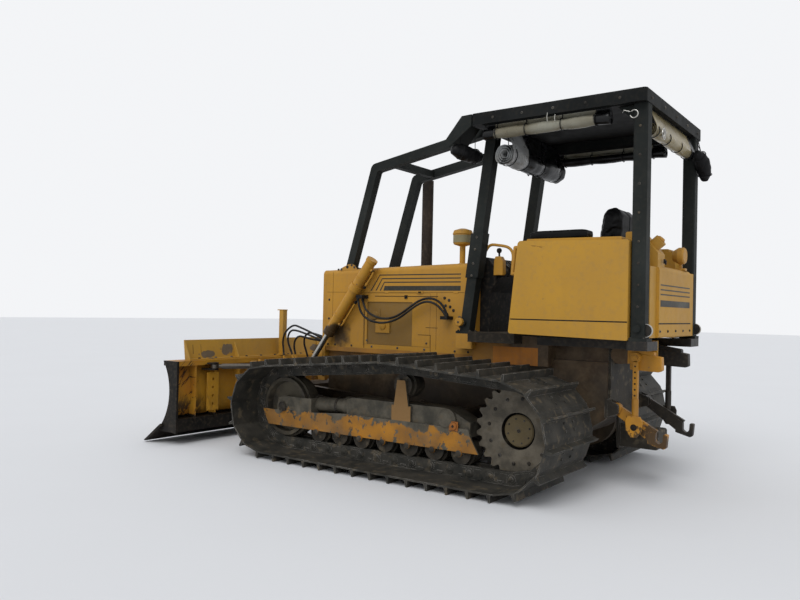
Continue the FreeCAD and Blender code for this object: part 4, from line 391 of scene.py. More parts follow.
def plastic_film(name, tint, dull, clear, cover):
    """Soft clear sheet: milky, creased, dusty; cover tells where a black cloth border wraps it."""
    s = Shade(name, 0.28, extra={"Transmission Weight": clear, "IOR": 1.45})
    colour = s.mix(s.noise(4, 4).step(0.3, 0.7), tint, dull)
    colour = s.mix(s.noise(15, 5, shift=3.0).step(0.5, 0.75) * 0.4, colour, DUST)
    s.bump(s.noise(16, 5, (0.4, 1, 1)), 0.5, 0.006)
    return s.finish(s.mix(cover(s), colour, (16, 16, 17)), s.noise(9, 4) * 0.3 + 0.15)


def side_cover(s):
    """Both ends on the left, all but a strip along the top on the right."""
    x = s.x + s.rag(12, 4, 3.0, 0.08)
    return x.step(-1.80, -1.815) | x.step(-1.01, -0.99) | s.y.step(0.0, -0.01) * s.z.step(2.712, 2.704)


def front_cover(s):
    return (s.y + s.rag(9, 4, 3.0, 0.12)).step(0.34, 0.31)


def rear_cover(s):
    return (s.y + s.rag(9, 4, 7.0, 0.1)).step(-0.40, -0.43)


def from_axle(s, x, z):
    return s.oval(s.x, s.z, ((x - X_MID) / 1000, z / 1000), (1.0, 1.0)).root()


def disc_coat_and_recess_shade(s, colour):
    """Ochre hub cap on a grey-brown disc, toward the outside of either track, with a near-black ring of
    painted shade in the recess round the cap.
    """
    away = from_axle(s, -1123.93, 443.3)
    colour = s.mix(away.step(0.1175, 0.1165), colour, s.mottle((92, 80, 56), (116, 102, 74), 9, 5))
    # Painted shade: near-black ring in the recess round the hub cap.
    return s.mix(away.between(0.1165, 0.133) * 0.9, colour, (14, 13, 12))


def web_coat(s, colour):
    """Pale dust on the idler's web."""
    web = from_axle(s, 1123.93, 422.0).step(0.215, 0.205)
    return s.mix(web * s.noise(5, 5, shift=5.0).step(0.3, 0.6) * 0.8, colour, (96, 90, 76))


def roller_coat(s, colour):
    """Yellowed roller ends."""
    end = abs(s.y).step(1.02, 1.025) * s.noise(12, 5, shift=15.0).step(0.4, 0.6) * 0.7
    return s.mix(end, colour, (128, 104, 52))


def vinyl(name, base, light, grain=260.0):
    """Grained cover of the seat, and the like in finer grains."""
    s = Shade(name, 0.5, 0.0, 0.12)
    cells = Field(s, s.add("TexVoronoi", {"Vector": s.where, "Scale": grain}).outputs["Distance"])
    s.bump(cells * 0.5 + s.noise(30, 4) * 0.8, 0.35, 0.0015)
    return s.finish(s.mix(s.noise(8, 5).step(0.4, 0.75), base, light), s.noise(20, 3) * 0.25 + 0.35)


def rubber(name, base, light):
    s = Shade(name, 0.6, shine=0.2)
    weave = s.add("TexWave", {"Vector": s.where, "Scale": 180, "Distortion": 2})
    s.bump(weave.outputs["Fac"], 0.15, 0.0006)
    return s.finish(s.mix(s.noise(11, 4).step(0.45, 0.75), base, light), s.noise(16, 3) * 0.2 + 0.45)


YELLOW = ((184, 134, 42), (172, 126, 52))
CLEAN = ((184, 138, 46), (174, 131, 52))
RECIPES = (
    (weathered, {
        "yellow_paint": YELLOW,
        "yellow_clean": (*CLEAN, 0.2, 0.2, 0.55),
        "fender_paint": (*CLEAN, 0.15, 0.15, 0.55, fender_coat),
        "blade_paint": ((188, 138, 42), (168, 118, 44), 0.25, 0.7, 0.5, blade_coat, 0.15),
        "top_plate_paint": ((188, 144, 54), (172, 132, 56), 0.2, 0.5, 0.5, top_plate_coat),
        "hood_paint": (*YELLOW, 0.5, 0.5, 0.5, grease),
        "panel_paint": (*YELLOW, 0.7, 0.5, 0.5, panel_coat),
        "cleaner_paint": ((186, 136, 40), (170, 126, 52), 0.5, 0.4, 0.5, cleaner_coat),
        "hull_paint": ((170, 118, 42), (150, 106, 46), 1.2, 0.8, 0.5, hull_coat),
        "bracket_paint": (*YELLOW, 0.7, 0.6, 0.5, bracket_coat),
        "grille_paint": (*YELLOW, 0.4, 0.6, 0.5, grille_coat),
        "hitch_paint": ((188, 132, 38), (172, 118, 42), 0.5, 1.0, 0.5, hitch_coat),
        "barrel_paint": (*YELLOW, 0.4, 0.6, 0.5, barrel_coat),
        "canopy_paint": ((28, 31, 30), (43, 46, 44), 0.15, -1.5, 0.6, None, 0.12, 0.04),
        # roof paint, with painted shade on its downward faces
        "roof_paint": ((18, 20, 20), (28, 30, 30), 0.15, -1.5, 0.6, roof_underside_shade, 0.12, 0.04),
        "deck_paint": ((36, 33, 29), (54, 49, 42), 0.7, 0.2, 0.65, None, 0.12),
        "black_paint": ((20, 20, 20), (34, 33, 32), 0.4, 0.3, 0.6, None, 0.12),
        "stack_paint": ((40, 36, 33), (58, 50, 43), 0.3, 0.9, 0.7, None, 0.15),
        "boss_paint": ((176, 104, 36), (150, 96, 42), 0.3, 1.0, 0.6),
        "stripe_dark": ((50, 49, 43), (70, 67, 58), 0.3, 0.5, 0.5, None, 0.2)}),
    (iron, {
        "iron": ((34, 32, 28), (62, 57, 49)),
        "track_iron": ((38, 38, 35), (66, 63, 57), 0.8),
        "frame_iron": ((60, 58, 51), (102, 96, 84), 0.4, None, girder_coat),
        "drive_iron": ((78, 73, 64), (120, 112, 98), 0.3, disc_coat_and_recess_shade),
        "idler_iron": ((54, 50, 44), (88, 82, 70), 0.5, web_coat),
        "roller_iron": ((38, 36, 32), (66, 60, 51), 0.6, roller_coat),
        "bolt_steel": ((34, 32, 29), (64, 58, 50), 0.7)}),
    (steel, {
        "chrome": ((190, 188, 182), 0.24),
        "pale_steel": ((196, 194, 188), 0.5),
        "dusty_chrome": ((92, 86, 78), 0.42)}),
    (plastic_film, {
        "side_film": ((146, 144, 130), (118, 112, 94), 0.1, side_cover),
        "front_film": ((176, 178, 178), (146, 146, 144), 0.15, front_cover),
        "rear_film": ((152, 138, 100), (116, 108, 86), 0.15, rear_cover)}),
    (vinyl, {
        "tie_cord": ((176, 174, 166), (140, 138, 130), 500.0),
        "dark_cloth": ((17, 17, 18), (34, 34, 35), 420.0),
        "seat_vinyl": ((8, 8, 9), (17, 17, 17)),
        "dial_face": ((20, 22, 24), (32, 34, 36), 900.0),
        "dial_mark": ((206, 206, 198), (176, 176, 166), 900.0)}),
    (rubber, {"hose_rubber": ((24, 24, 25), (52, 50, 46))}),
)
LOOKS = {name: recipe(name, *values) for recipe, table in RECIPES for name, values in table.items()}

COATS = {
    "hull_paint": "hull push_frame",
    "bracket_paint": "canopy_brackets",
    "iron": "equalizer_bar engine rear_hitch",
    "hood_paint": "hood",
    "panel_paint": "side_panels",
    "grille_paint": "grille",
    "stack_paint": "exhaust_stack",
    "cleaner_paint": "air_precleaner",
    "deck_paint": "operator_deck",
    "black_paint": "dashboard control_levers blade_ears hose_fittings",
    "fender_paint": "fenders",
    "yellow_clean": "fuel_tank blade_mast",
    "yellow_paint": "grab_rails work_lamp blade_yoke kingpin_block angle_barrel_left angle_barrel_right "
                    "tilt_barrel hose_manifold",
    "roof_paint": "canopy_roof",
    "canopy_paint": "canopy_posts sweeps",
    "track_iron": "track_left track_right",
    "frame_iron": "track_frames",
    "drive_iron": "sprockets",
    "idler_iron": "idlers",
    "roller_iron": "track_rollers",
    "blade_paint": "blade",
    "top_plate_paint": "blade_extension",
    "barrel_paint": "lift_barrels",
    "chrome": "lift_rods tilt_rod",
    "dusty_chrome": "angle_rod_left angle_rod_right",
    "hitch_paint": "hitch_arms lift_links lower_links",
}


def coat(obj, material):
    if not obj.material_slots:
        obj.data.materials.append(None)
    for slot in obj.material_slots:
        slot.link = "OBJECT"
        slot.material = material


for look, node_names in COATS.items():
    for node_name in node_names.split():
        coat(nodes[node_name], LOOKS[look])

# Hoses: their routes' points are the control points of one spline each

HOSE_R = 10.0
SIDE_UPPER = (
    (708, 452, 1370), (690, 456, 1318), (640, 464, 1268), (560, 470, 1232), (460, 474, 1212),
    (350, 474, 1222), (250, 472, 1268), (160, 468, 1330), (70, 462, 1385), (-30, 456, 1405),
    (-115, 450, 1378), (-168, 446, 1325), (-190, 444, 1275))
SIDE_LOWER = (
    (740, 482, 1370), (724, 484, 1304), (680, 488, 1240), (600, 492, 1196), (490, 494, 1174),
    (370, 494, 1184), (262, 489, 1226), (164, 486, 1292), (70, 482, 1352), (-20, 478, 1376),
    (-102, 474, 1352), (-158, 472, 1305), (-186, 471, 1275))
FRONT_ROUTES = (
    (1.028, ((1268.3, 296, 985), (1330, 293, 1000), (1440, 275, 1030), (1580, 245, 1068), (1700, 215, 1094),
             (1810, 195, 1120), (1912, 170, 1083), (2005, 142, 1020), (2042, 126, 930), (2030, 121, 850),
             (2023, 120, 790))),
    (0.930, ((1268.3, 326, 975), (1330, 322, 988), (1430, 304, 1008), (1560, 262, 1030), (1680, 222, 1048),
             (1778, 196, 1062), (1862, 174, 1063), (1913, 160, 1036), (1946, 148, 988), (1951, 138, 930),
             (1926, 127, 868), (1902, 121, 806))),
    (0.747, ((1268.3, 266, 965), (1330, 262, 969), (1430, 250, 977), (1560, 226, 986), (1680, 196, 1001),
             (1762, 172, 1006), (1818, 160, 979), (1852, 149, 930), (1860, 138, 871), (1850, 128, 812))),
    (0.653, ((1268.3, 236, 990), (1330, 234, 1004), (1430, 224, 1024), (1540, 206, 1042), (1610, 190, 1046),
             (1665, 178, 1019), (1699, 165, 971), (1706, 150, 912), (1692, 135, 853), (1680, 125, 795))),
)


def route_curve(name, route, radius=0.0):
    data = bpy.data.curves.new(name, "CURVE")
    data.dimensions = "3D"
    data.resolution_u = 8
    spline = data.splines.new("NURBS")
    spline.points.add(len(route) - 1)
    for point, at in zip(spline.points, route):
        point.co = (*place(*at), 1)
    spline.order_u = 3
    spline.use_endpoint_u = True
    data.bevel_depth = radius / 1000
    data.bevel_resolution = 4
    data.use_fill_caps = radius > 0
    return link(bpy.data.objects.new(name, data))


def route_path(name, route):
    """Points of the route's own spline, in metres."""
    curve = route_curve(name, route)
    bpy.context.view_layer.update()
    mesh = bpy.data.meshes.new_from_object(curve)
    path = [v.co.copy() for v in mesh.vertices]
    bpy.data.meshes.remove(mesh)
    bpy.data.objects.remove(curve)
    return path


def circle(radius, count, start=0.0):
    """Pairs of coordinates of points evenly spaced round a circle."""
    angles = [2 * math.pi * k / count + start for k in range(count)]
    return [(radius * math.cos(angle), radius * math.sin(angle)) for angle in angles]


def ring_faces(rings, sides, closed=False):
    """Quads between rings of points; the end rings are capped unless they are joined too."""
    joins = rings if closed else rings - 1
    faces = [(i * sides + k, i * sides + (k + 1) % sides, (i + 1) % rings * sides + (k + 1) % sides,
              (i + 1) % rings * sides + k) for i in range(joins) for k in range(sides)]
    if not closed:
        faces.append(tuple(range(sides))[::-1])
        faces.append(tuple(range((rings - 1) * sides, rings * sides)))
    return faces


class Pile:
    """Polygons in machine millimetres, gathered into one mesh."""

    def __init__(self):
        self.points = []
        self.faces = []

    def add(self, points, faces):
        base = len(self.points)
        self.points += [Vector(p) for p in points]
        self.faces += [[base + i for i in face] for face in faces]

    def prism(self, outline, way):
        """Outline carried along way; done() turns its faces outward."""
        ends = [Vector(p) + Vector(shift) for shift in ((0, 0, 0), way) for p in outline]
        self.add(ends, ring_faces(2, len(outline)))

    def plate(self, outline, y, depth):
        """Outline of (x, z) pairs, carried along Y."""
        self.prism([(x, y, z) for x, z in outline], (0, depth, 0))

    def box(self, x0, x1, y0, y1, z0, z1):
        self.prism([(x0, y0, z0), (x1, y0, z0), (x1, y1, z0), (x0, y1, z0)], (0, 0, z1 - z0))

    def turned(self, outline, at, way, sides=24, start=0.0, hollow=False):
        """Body of revolution from (radius, height) pairs, about way; a hollow one stays open inside."""
        way = Vector(way).normalized()
        side = way.orthogonal().normalized()
        other = way.cross(side)
        points = [Vector(at) + way * height + side * a + other * b
                  for radius, height in outline for a, b in circle(radius, sides, start)]
        self.add(points, ring_faces(len(outline), sides, hollow))

    def ring(self, inner, outer, half, at, way):
        """Flat ring round way."""
        outline = ((inner, -half), (outer, -half), (outer, half), (inner, half))
        self.turned(outline, at, way, 28, hollow=True)

    def bolt(self, at, way, size=11.0, washer=True):
        """Hex head on a washer."""
        rise = 0.0
        if washer:
            rim = size * 1.32
            self.turned([(rim, -0.5), (rim, size * 0.2), (size * 1.2, size * 0.26)], at, way, 14)
            rise = size * 0.24
        top = rise + size * 0.75
        self.turned([(size, rise - 0.5), (size, top - size * 0.12), (size * 0.86, top)], at, way, 6, 0.3)

    def bolts(self, xs, ys, zs, way, size=11.0, washer=True):
        """One bolt at each meeting of the given places on three axes."""
        for x in xs:
            for y in ys:
                for z in zs:
                    self.bolt((x, y, z), way, size, washer)

    def bolt_circle(self, x, y, z, radius, count, start, size, washer=False):
        """Bolts round an axle that lies along Y."""
        for dx, dz in circle(radius, count, start):
            self.bolt((x + dx, y, z + dz), OUT, size, washer)

    def tube(self, path, radius, sides=8):
        """Round tube along points in millimetres, with capped ends."""
        path = [Vector(p) for p in path]
        side = (path[1] - path[0]).orthogonal().normalized()
        points = []
        for i, here in enumerate(path):
            way = (path[min(i + 1, len(path) - 1)] - path[max(i - 1, 0)]).normalized()
            side = (side - way * side.dot(way)).normalized()
            other = way.cross(side)
            points += [here + side * a + other * b for a, b in circle(radius, sides)]
        self.add(points, ring_faces(len(path), sides))

    def mirror(self):
        base = len(self.points)
        self.points += [Vector((p.x, -p.y, p.z)) for p in self.points]
        self.faces += [[base + i for i in face[::-1]] for face in list(self.faces)]

    def done(self, name, look, body="chassis", bevel=0.0, smooth=True):
        mesh = bpy.data.meshes.new(name)
        mesh.from_pydata([place(*p) for p in self.points], [], self.faces)
        work = bmesh.new()
        work.from_mesh(mesh)
        bmesh.ops.recalc_face_normals(work, faces=work.faces)
        work.to_mesh(mesh)
        work.free()
        mesh.materials.append(LOOKS[look])
        obj = link(bpy.data.objects.new(name, mesh))
        if bevel:
            cut = obj.modifiers.new("edges", "BEVEL")
            cut.width = bevel / 1000
            cut.segments = 2
            cut.limit_method = "ANGLE"
            cut.angle_limit = math.radians(40)
        if smooth:
            mesh.shade_smooth()
            mesh.set_sharp_from_angle(angle=math.radians(38))
        if body:
            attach(obj, body)
        return obj


def hose(obj, node_name, start, length, **more):
    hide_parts(node_name)
    place(*start)


def side_hose(name, route, length):
    curve = route_curve("rubber_" + name, route, HOSE_R)
    curve.data.materials.append(LOOKS["hose_rubber"])
    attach(curve, "chassis")
    hose(curve, name, route[0], length)


def front_hose(name, route, length):
    path = route_path("rubber_path", route)
    pile = Pile()
    pile.tube([(p.x * 1000 + X_MID, p.y * 1000, p.z * 1000) for p in path], HOSE_R, 12)
    tube = pile.done("rubber_" + name, "hose_rubber", body=None)
    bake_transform(tube)
    hose(tube, name, route[0], length, path=path)


for side_name, side in (("left", 1), ("right", -1)):
    side_hose("hose_%s_upper" % side_name, [(x, y * side, z) for x, y, z in SIDE_UPPER], 1.065)
    side_hose("hose_%s_lower" % side_name, [(x, y * side, z) for x, y, z in SIDE_LOWER], 1.100)
for index, (front_length, front_route) in enumerate(FRONT_ROUTES, 1):
    front_hose("hose_front_%d" % index, front_route, front_length)

# Floor and light


def make_floor():
    s = Shade("floor", 0.9)
    tone = s.mix(s.noise(0.8, 3) * 0.5, (222, 223, 226), (228, 229, 232))
    mesh = bpy.data.meshes.new("floor")
    mesh.from_pydata([(x, y, -0.002) for x, y in ((-60, -60), (60, -60), (60, 60), (-60, 60))], [],
                     [(0, 1, 2, 3)])
    mesh.materials.append(s.finish(tone, 0.9))
    link(bpy.data.objects.new("floor", mesh))


def make_light():
    """Sky that looks brighter than it shines, and a soft low sun."""
    world = bpy.data.worlds.new("sky")
    bpy.context.scene.world = world
    world.use_nodes = True
    tree = world.node_tree
    tree.nodes.clear()
    seen = add_node(tree, "Background", {"Color": (0.90, 0.91, 0.93, 1), "Strength": 1.0})
    light = add_node(tree, "Background", {"Color": (0.96, 0.98, 1.0, 1), "Strength": 0.72})
    rays = add_node(tree, "LightPath").outputs
    looks = rays["Is Camera Ray"]
    for kind in ("Is Glossy Ray", "Is Transmission Ray"):
        looks = add_node(tree, "Math", {0: looks, 1: rays[kind]}, operation="MAXIMUM").outputs[0]
    mix = add_node(tree, "MixShader", {"Fac": looks, 1: light.outputs[0], 2: seen.outputs[0]})
    add_node(tree, "OutputWorld", {0: mix.outputs[0]})
    data = bpy.data.lights.new("sun", "SUN")
    data.energy = 1.1
    data.angle = math.radians(35)
    sun = link(bpy.data.objects.new("sun", data))
    sun.rotation_euler = (math.radians(38), math.radians(-14), math.radians(-150))


make_floor()
make_light()
bpy.context.scene.view_settings.view_transform = "Standard"

# Seat and armrests, swelled by a cloth simulation


def shrunk_copy(node_name, name, amount, part=None):
    """Copy of a node's mesh, drawn in towards its middle by amount (metres)."""
    work = bmesh.new()
    work.from_mesh(nodes[node_name].data)
    if part is not None:
        out = [v for v in work.verts if v.co.y * part < 0]
        bmesh.ops.delete(work, geom=out, context="VERTS")
    for i in range(3):
        low = min(v.co[i] for v in work.verts)
        high = max(v.co[i] for v in work.verts)
        middle = (low + high) / 2
        half = (high - low) / 2
        for v in work.verts:
            v.co[i] = middle + (v.co[i] - middle) * (half - amount) / half
    mesh = bpy.data.meshes.new(name)
    work.to_mesh(mesh)
    work.free()
    return link(bpy.data.objects.new(name, mesh))


def apply_modifiers(obj):
    bpy.context.view_layer.update()
    held = obj.evaluated_get(bpy.context.evaluated_depsgraph_get())
    mesh = bpy.data.meshes.new_from_object(held)
    obj.modifiers.clear()
    obj.data = mesh


def swell(obj, voxel, cap):
    """Voxel remesh, then cloth under pressure, with each point's travel capped."""
    remesh = obj.modifiers.new("remesh", "REMESH")
    remesh.mode = "VOXEL"
    remesh.voxel_size = voxel
    apply_modifiers(obj)
    start = [v.co.copy() for v in obj.data.vertices]
    cloth = obj.modifiers.new("cloth", "CLOTH")
    cloth.settings.use_pressure = True
    cloth.settings.uniform_pressure_force = 4
    cloth.settings.effector_weights.gravity = 0
    cloth.settings.tension_stiffness = 12
    cloth.settings.compression_stiffness = 12
    cloth.settings.bending_stiffness = 2
    cloth.collision_settings.use_collision = False
    cloth.point_cache.frame_start = 1
    cloth.point_cache.frame_end = 20
    for f in range(1, 21):
        bpy.context.scene.frame_set(f)
    apply_modifiers(obj)
    bpy.context.scene.frame_set(1)
    for v, at in zip(obj.data.vertices, start):
        move = v.co - at
        if move.length > cap:
            v.co = at + move * (cap / move.length)
    soft = obj.modifiers.new("soft", "SUBSURF")
    soft.levels = 1
    soft.render_levels = 1
    apply_modifiers(obj)
    obj.data.shade_smooth()


def keep_in(obj, node_name):
    """Points that swelled past the node's box go back to it."""
    low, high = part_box(node_name)
    for v in obj.data.vertices:
        for i in range(3):
            v.co[i] = min(max(v.co[i], low[i]), high[i])


def channel(obj, axis, at, half, depth, facing):
    """Sewn groove across the faces that look along facing, at one place on an axis."""
    toward = Vector(facing)
    normals = [v.normal.copy() for v in obj.data.vertices]
    for v, normal in zip(obj.data.vertices, normals):
        off = abs(v.co[axis] - at) / half
        if off < 1 and normal.dot(toward) > 0.2:
            v.co -= normal * (depth * (1 - off * off) ** 2)


def cover(pad, node_name, fill):
    pad.data.materials.append(LOOKS["seat_vinyl"])
    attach(pad, "chassis")
    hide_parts(node_name)


def make_seat():
    cushion = shrunk_copy("seat_cushion", "seat_pad", 0.014)
    swell(cushion, 0.008, 0.022)
    keep_in(cushion, "seat_cushion")
    for y in (-0.125, 0.0, 0.125):
        channel(cushion, 1, y, 0.012, 0.006, UP)
    cover(cushion, "seat_cushion", 0.7)
    back = shrunk_copy("seat_back", "back_pad", 0.014)
    swell(back, 0.008, 0.022)
    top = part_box("seat_back")[1][2]
    for v in back.data.vertices:
        rise = max(0.0, (v.co.z - top + 0.20) / 0.20)
        v.co.y *= math.sqrt(max(0.0, 1 - 0.72 * rise * rise))
    keep_in(back, "seat_back")
    channel(back, 1, 0.0, 0.010, 0.007, (-0.5, 0, 0.8))
    channel(back, 1, 0.0, 0.010, 0.006, AHEAD)
    channel(back, 2, 1.86, 0.012, 0.006, AHEAD)
    cover(back, "seat_back", 0.7)
    for name, part in (("left", 1), ("right", -1)):
        rest = shrunk_copy("armrests", "armrest_pad_" + name, 0.006, part)
        swell(rest, 0.006, 0.010)
        cover(rest, "armrests", 0.8)


make_seat()

# Curtains: each one sheet, rolled up and tied under the roof

ROOF_UNDER = 2757.7
SHEET_T = 1.2
FLAP_STEPS = 6


def roll_path(flap, centre, outer, inner, turns):
    """Section of a rolled sheet: down the flap, round the roll, and on inward. Two axes, millimetres."""
    away = flap - centre
    first = math.atan2(away.y, away.x) + math.acos(min(1.0, outer / away.length))
    touch = centre + Vector((math.cos(first), math.sin(first))) * outer
    path = [flap.lerp(touch, k / FLAP_STEPS) for k in range(FLAP_STEPS)]
    steps = int(30 * turns)
    for k in range(steps + 1):
        share = k / steps
        angle = first + 2 * math.pi * turns * share
        radius = outer + (inner - outer) * share
        path.append(centre + Vector((math.cos(angle), math.sin(angle))) * radius)
    return path


def creased(p, k, count, along, mid, sag, seed):
    """Where one point of the section lies, at one place along the roll."""
    if k < FLAP_STEPS:
        fold = noise.noise(Vector((along / 90, k * 0.3 + seed, 1.0))) * 2.0
        return p + Vector((fold, 0))
    away = p - mid
    angle = math.atan2(away.y, away.x)
    crease = noise.noise(Vector((along / 120, math.cos(angle) * 1.6 + seed, math.sin(angle) * 1.6)))
    fine = noise.noise(Vector((along / 35, math.cos(angle) * 4 + seed, math.sin(angle) * 4)))
    share = (k - FLAP_STEPS) / (count - 1 - FLAP_STEPS)
    swing = (0.09 * crease + 0.03 * fine) * (1 - 0.6 * share)
    return mid + away * (1 - sag + swing)


def roll(name, node_name, look, axis, low, high, flap, centre, outer, inner, turns, ties, seed):
    """Sheet rolled along X (axis 0) or Y (axis 1), pinched at the ties and creased between them."""

    def spot(along, p):
        return (along, p.x, p.y) if axis == 0 else (p.x, along, p.y)

    flap = Vector(flap)
    mid = Vector(centre)
    path = roll_path(flap, mid, outer, inner, turns)
    width = len(path)
    count = max(24, int((high - low) / 22))
    points = []
    for i in range(count + 1):
        along = low + (high - low) * i / count
        sag = (1 - min(1.0, min(abs(along - tie) for tie in ties) / 90)) * 0.16
        points += [spot(along, creased(p, k, width, along, mid, sag, seed)) for k, p in enumerate(path)]
    faces = [(i * width + k, (i + 1) * width + k, (i + 1) * width + k + 1, i * width + k + 1)
             for i in range(count) for k in range(width - 1)]
    pile = Pile()
    pile.add(points, faces)
    obj = pile.done(name, look, body=None, smooth=False)
    thickness = obj.modifiers.new("thickness", "SOLIDIFY")
    thickness.thickness = SHEET_T / 1000
    thickness.offset = 0
    apply_modifiers(obj)
    obj.data.shade_smooth()
    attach(obj, "chassis")
    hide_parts(node_name)
    bands = Pile()
    hoop = [mid + Vector(at) for at in circle(outer * 0.86 + 3, 24)]
    top = mid + (flap - mid).normalized() * (outer * 0.86)
    for tie in ties:
        bands.tube([spot(tie, p) for p in hoop + hoop[:1]], 3.5)
        bands.tube([spot(tie, top), spot(tie, flap)], 3.5)
    band = bands.done(name + "_ties", "dark_cloth")
    length = sum((b - a).length for a, b in zip(path, path[1:]))


def make_curtains():
    for name, side in (("left", 1), ("right", -1)):
        roll("side_sheet_" + name, "side_curtains", "side_film", 0, -1666, -652, (side * 660, ROOF_UNDER - 1),
             (side * 661, ROOF_UNDER - 72), 49, 12, 3.2, (-1560, -1300, -1010, -760), 3.0 * side)
    roll("rear_sheet", "rear_curtain", "rear_film", 1, -506, 506, (-1890, ROOF_UNDER - 1),
         (-1892, ROOF_UNDER - 146), 52, 12, 3.2, (-430, -150, 150, 430), 11.0)
    roll("front_sheet", "front_curtain", "front_film", 1, -396, 590, (-785, ROOF_UNDER - 1),
         (-786, ROOF_UNDER - 224), 92, 26, 3.6, (-330, 0, 300, 520), 17.0)


make_curtains()

# Stripes on the hood and the tank: thin paint films

HOOD_SIDE = 395.0
STRIPE_T = 0.6
STRIPE_SUNK = 0.2
STRIPE_LOW = 1467
STRIPE_END = -296


def make_stripes():
    """Three lines that turn down at the front, over a wider band."""
    paint = Pile()
    inner = HOOD_SIDE - STRIPE_SUNK
    film = STRIPE_T + STRIPE_SUNK
    for low_x, turn_x, z in ((667, 563, 1613), (610, 537, 1580), (562, 512, 1547)):
        bend = turn_x + 10 * (low_x - turn_x) / (z - STRIPE_LOW)
        paint.plate([(low_x, STRIPE_LOW), (low_x - 15, STRIPE_LOW), (bend - 10, z - 10), (bend, z - 10)],
                    inner, film)
        paint.plate([(bend, z - 10), (turn_x, z), (STRIPE_END, z), (STRIPE_END, z - 10)], inner, film)
    paint.plate([(519, STRIPE_LOW), (506, 1509), (STRIPE_END, 1509), (STRIPE_END, STRIPE_LOW)], inner, film)
    paint.mirror()
    for z0, z1 in ((1508, 1518), (1474, 1484), (1440, 1450), (1357, 1404)):
        paint.box(-1950.6, -1949.8, -384, 384, z0, z1)
    paint.done("stripes", "stripe_dark", smooth=False)


make_stripes()

# Track trim: shoe bolts, link bosses and pins

SHOES = 38
PITCH = 171.5
TRACK_Y = 905.0
SPROCKET = (-1123.93, 443.31, 331.31)
CARRIER = (-150.0, 708.62, 130.0)
IDLER = (1123.93, 422.0, 310.0)


def belt(circles):
    """Runs and arcs round (x, z, r) circles, rearward along the ground first."""
    count = len(circles)
    runs = []
    for i in range(count):
        x0, z0, r0 = circles[i]
        x1, z1, r1 = circles[(i + 1) % count]
        gap = math.hypot(x1 - x0, z1 - z0)
        angle = math.atan2(z1 - z0, x1 - x0) + math.asin((r1 - r0) / gap)
        out = Vector((-math.sin(angle), math.cos(angle)))
        runs.append((Vector((x0, z0)) + out * r0, Vector((x1, z1)) + out * r1))
    pieces = []
    for i in range(count):
        start, end = runs[i]
        pieces.append(("run", start, end, (end - start).length))
        x, z, r = circles[(i + 1) % count]
        following = runs[(i + 1) % count][0]
        a0 = math.atan2(end.y - z, end.x - x)
        a1 = math.atan2(following.y - z, following.x - x)
        while a1 > a0:
            a1 -= 2 * math.pi
        pieces.append(("arc", (x, z, r), (a0, a1), r * (a0 - a1)))
    return pieces


def along_belt(pieces, distance):
    for kind, first, second, length in pieces:
        if distance <= length:
            share = distance / length
            if kind == "run":
                return first.lerp(second, share)
            angle = second[0] + (second[1] - second[0]) * share
            return Vector((first[0] + first[2] * math.cos(angle), first[1] + first[2] * math.sin(angle)))
        distance -= length
    return pieces[0][1]


def make_track_trim():
    pieces = belt((SPROCKET, CARRIER, IDLER))
    pins = [along_belt(pieces, k * PITCH) for k in range(SHOES)]
    pile = Pile()
    for a, b in zip(pins, pins[1:] + pins[:1]):
        way = (b - a).normalized()
        out = Vector((-way.y, way.x))
        for side in (-1, 1):
            for share in (0.30, 0.62):
                at = a.lerp(b, share) + out * 62
                pile.bolt((at.x, TRACK_Y + side * 75, at.y), (out.x, 0, out.y), 10, washer=False)
            face = TRACK_Y + side * 95
            pile.turned([(34, -1), (34, 5), (29, 7)], (a.x, face, a.y), (0, side, 0), 16)
            pile.turned([(17, 6), (17, 11), (14, 13)], (a.x, face, a.y), (0, side, 0), 12)
            ends = (a + way * 34, b - way * 34)
            link_plate = [ends[0] - out * 30, ends[1] - out * 30, ends[1] + out * 34, ends[0] + out * 34]
            pile.plate(link_plate, face - side, side * 4)
            middle = a.lerp(b, 0.5)
            corners = ((-26, 22), (26, 22), (14, 44), (-14, 44))
            boss = [middle + way * along + out * rise for along, rise in corners]
            pile.plate(boss, face - side, side * 7)
        pile.turned([(28, 0), (28, 112)], (a.x, TRACK_Y - 56, a.y), OUT, 14)
    pile.mirror()
    pile.done("track_pins_and_bolts", "track_iron")


def make_undercarriage_trim():
    """Bolts and caps of sprocket, idler, rollers and girder."""
    pile = Pile()
    sx, sz = SPROCKET[:2]
    pile.bolt_circle(sx, 885, sz, 150, 8, 0.2, 9)
    pile.bolt_circle(sx, 930, sz, 236, 12, 0.13, 11, washer=True)
    pile.bolt_circle(sx, 918.6, sz, 88, 8, 0.5, 7)
    pile.turned([(14, -1), (14, 4), (10, 6)], (sx, 919, sz), OUT, 12)
    pile.bolt((-641, 1039, 438), OUT, 10, washer=False)
    pile.turned([(42, -1), (42, 8), (34, 12), (14, 12)], (IDLER[0], 1037, IDLER[1]), OUT, 20)
    for k in range(7):
        pile.turned([(24, -1), (24, 5), (18, 9)], (725 - 236 * k, 1032, 242), OUT, 16)
    pile.bolts((-700, 1020), [1022], [395], OUT)
    pile.bolt_circle(-567, 1015, 480, 66, 6, 0.3, 8)
    spring_way = (1, 0, -0.035)
    pile.turned([(78, -4), (78, 8), (72, 12)], (800, 905, 461), spring_way, 28)
    pile.turned([(70, 0), (70, 18)], (560, 905, 470), spring_way, 28)
    pile.mirror()
    pile.done("undercarriage_bolts", "bolt_steel")
    boss = Pile()
    boss.box(-680, -602, 1021.5, 1030, 403, 474)
    boss.turned([(30, 0), (30, 7), (24, 10)], (-641, 1030, 438), OUT, 20)
    boss.mirror()
    boss.done("girder_bosses", "boss_paint", bevel=2)


make_track_trim()
make_undercarriage_trim()

# Bolts, seams and fittings of the upper works


def hood_top(x):
    return 1705 - (x + 450) / 1655 * 43


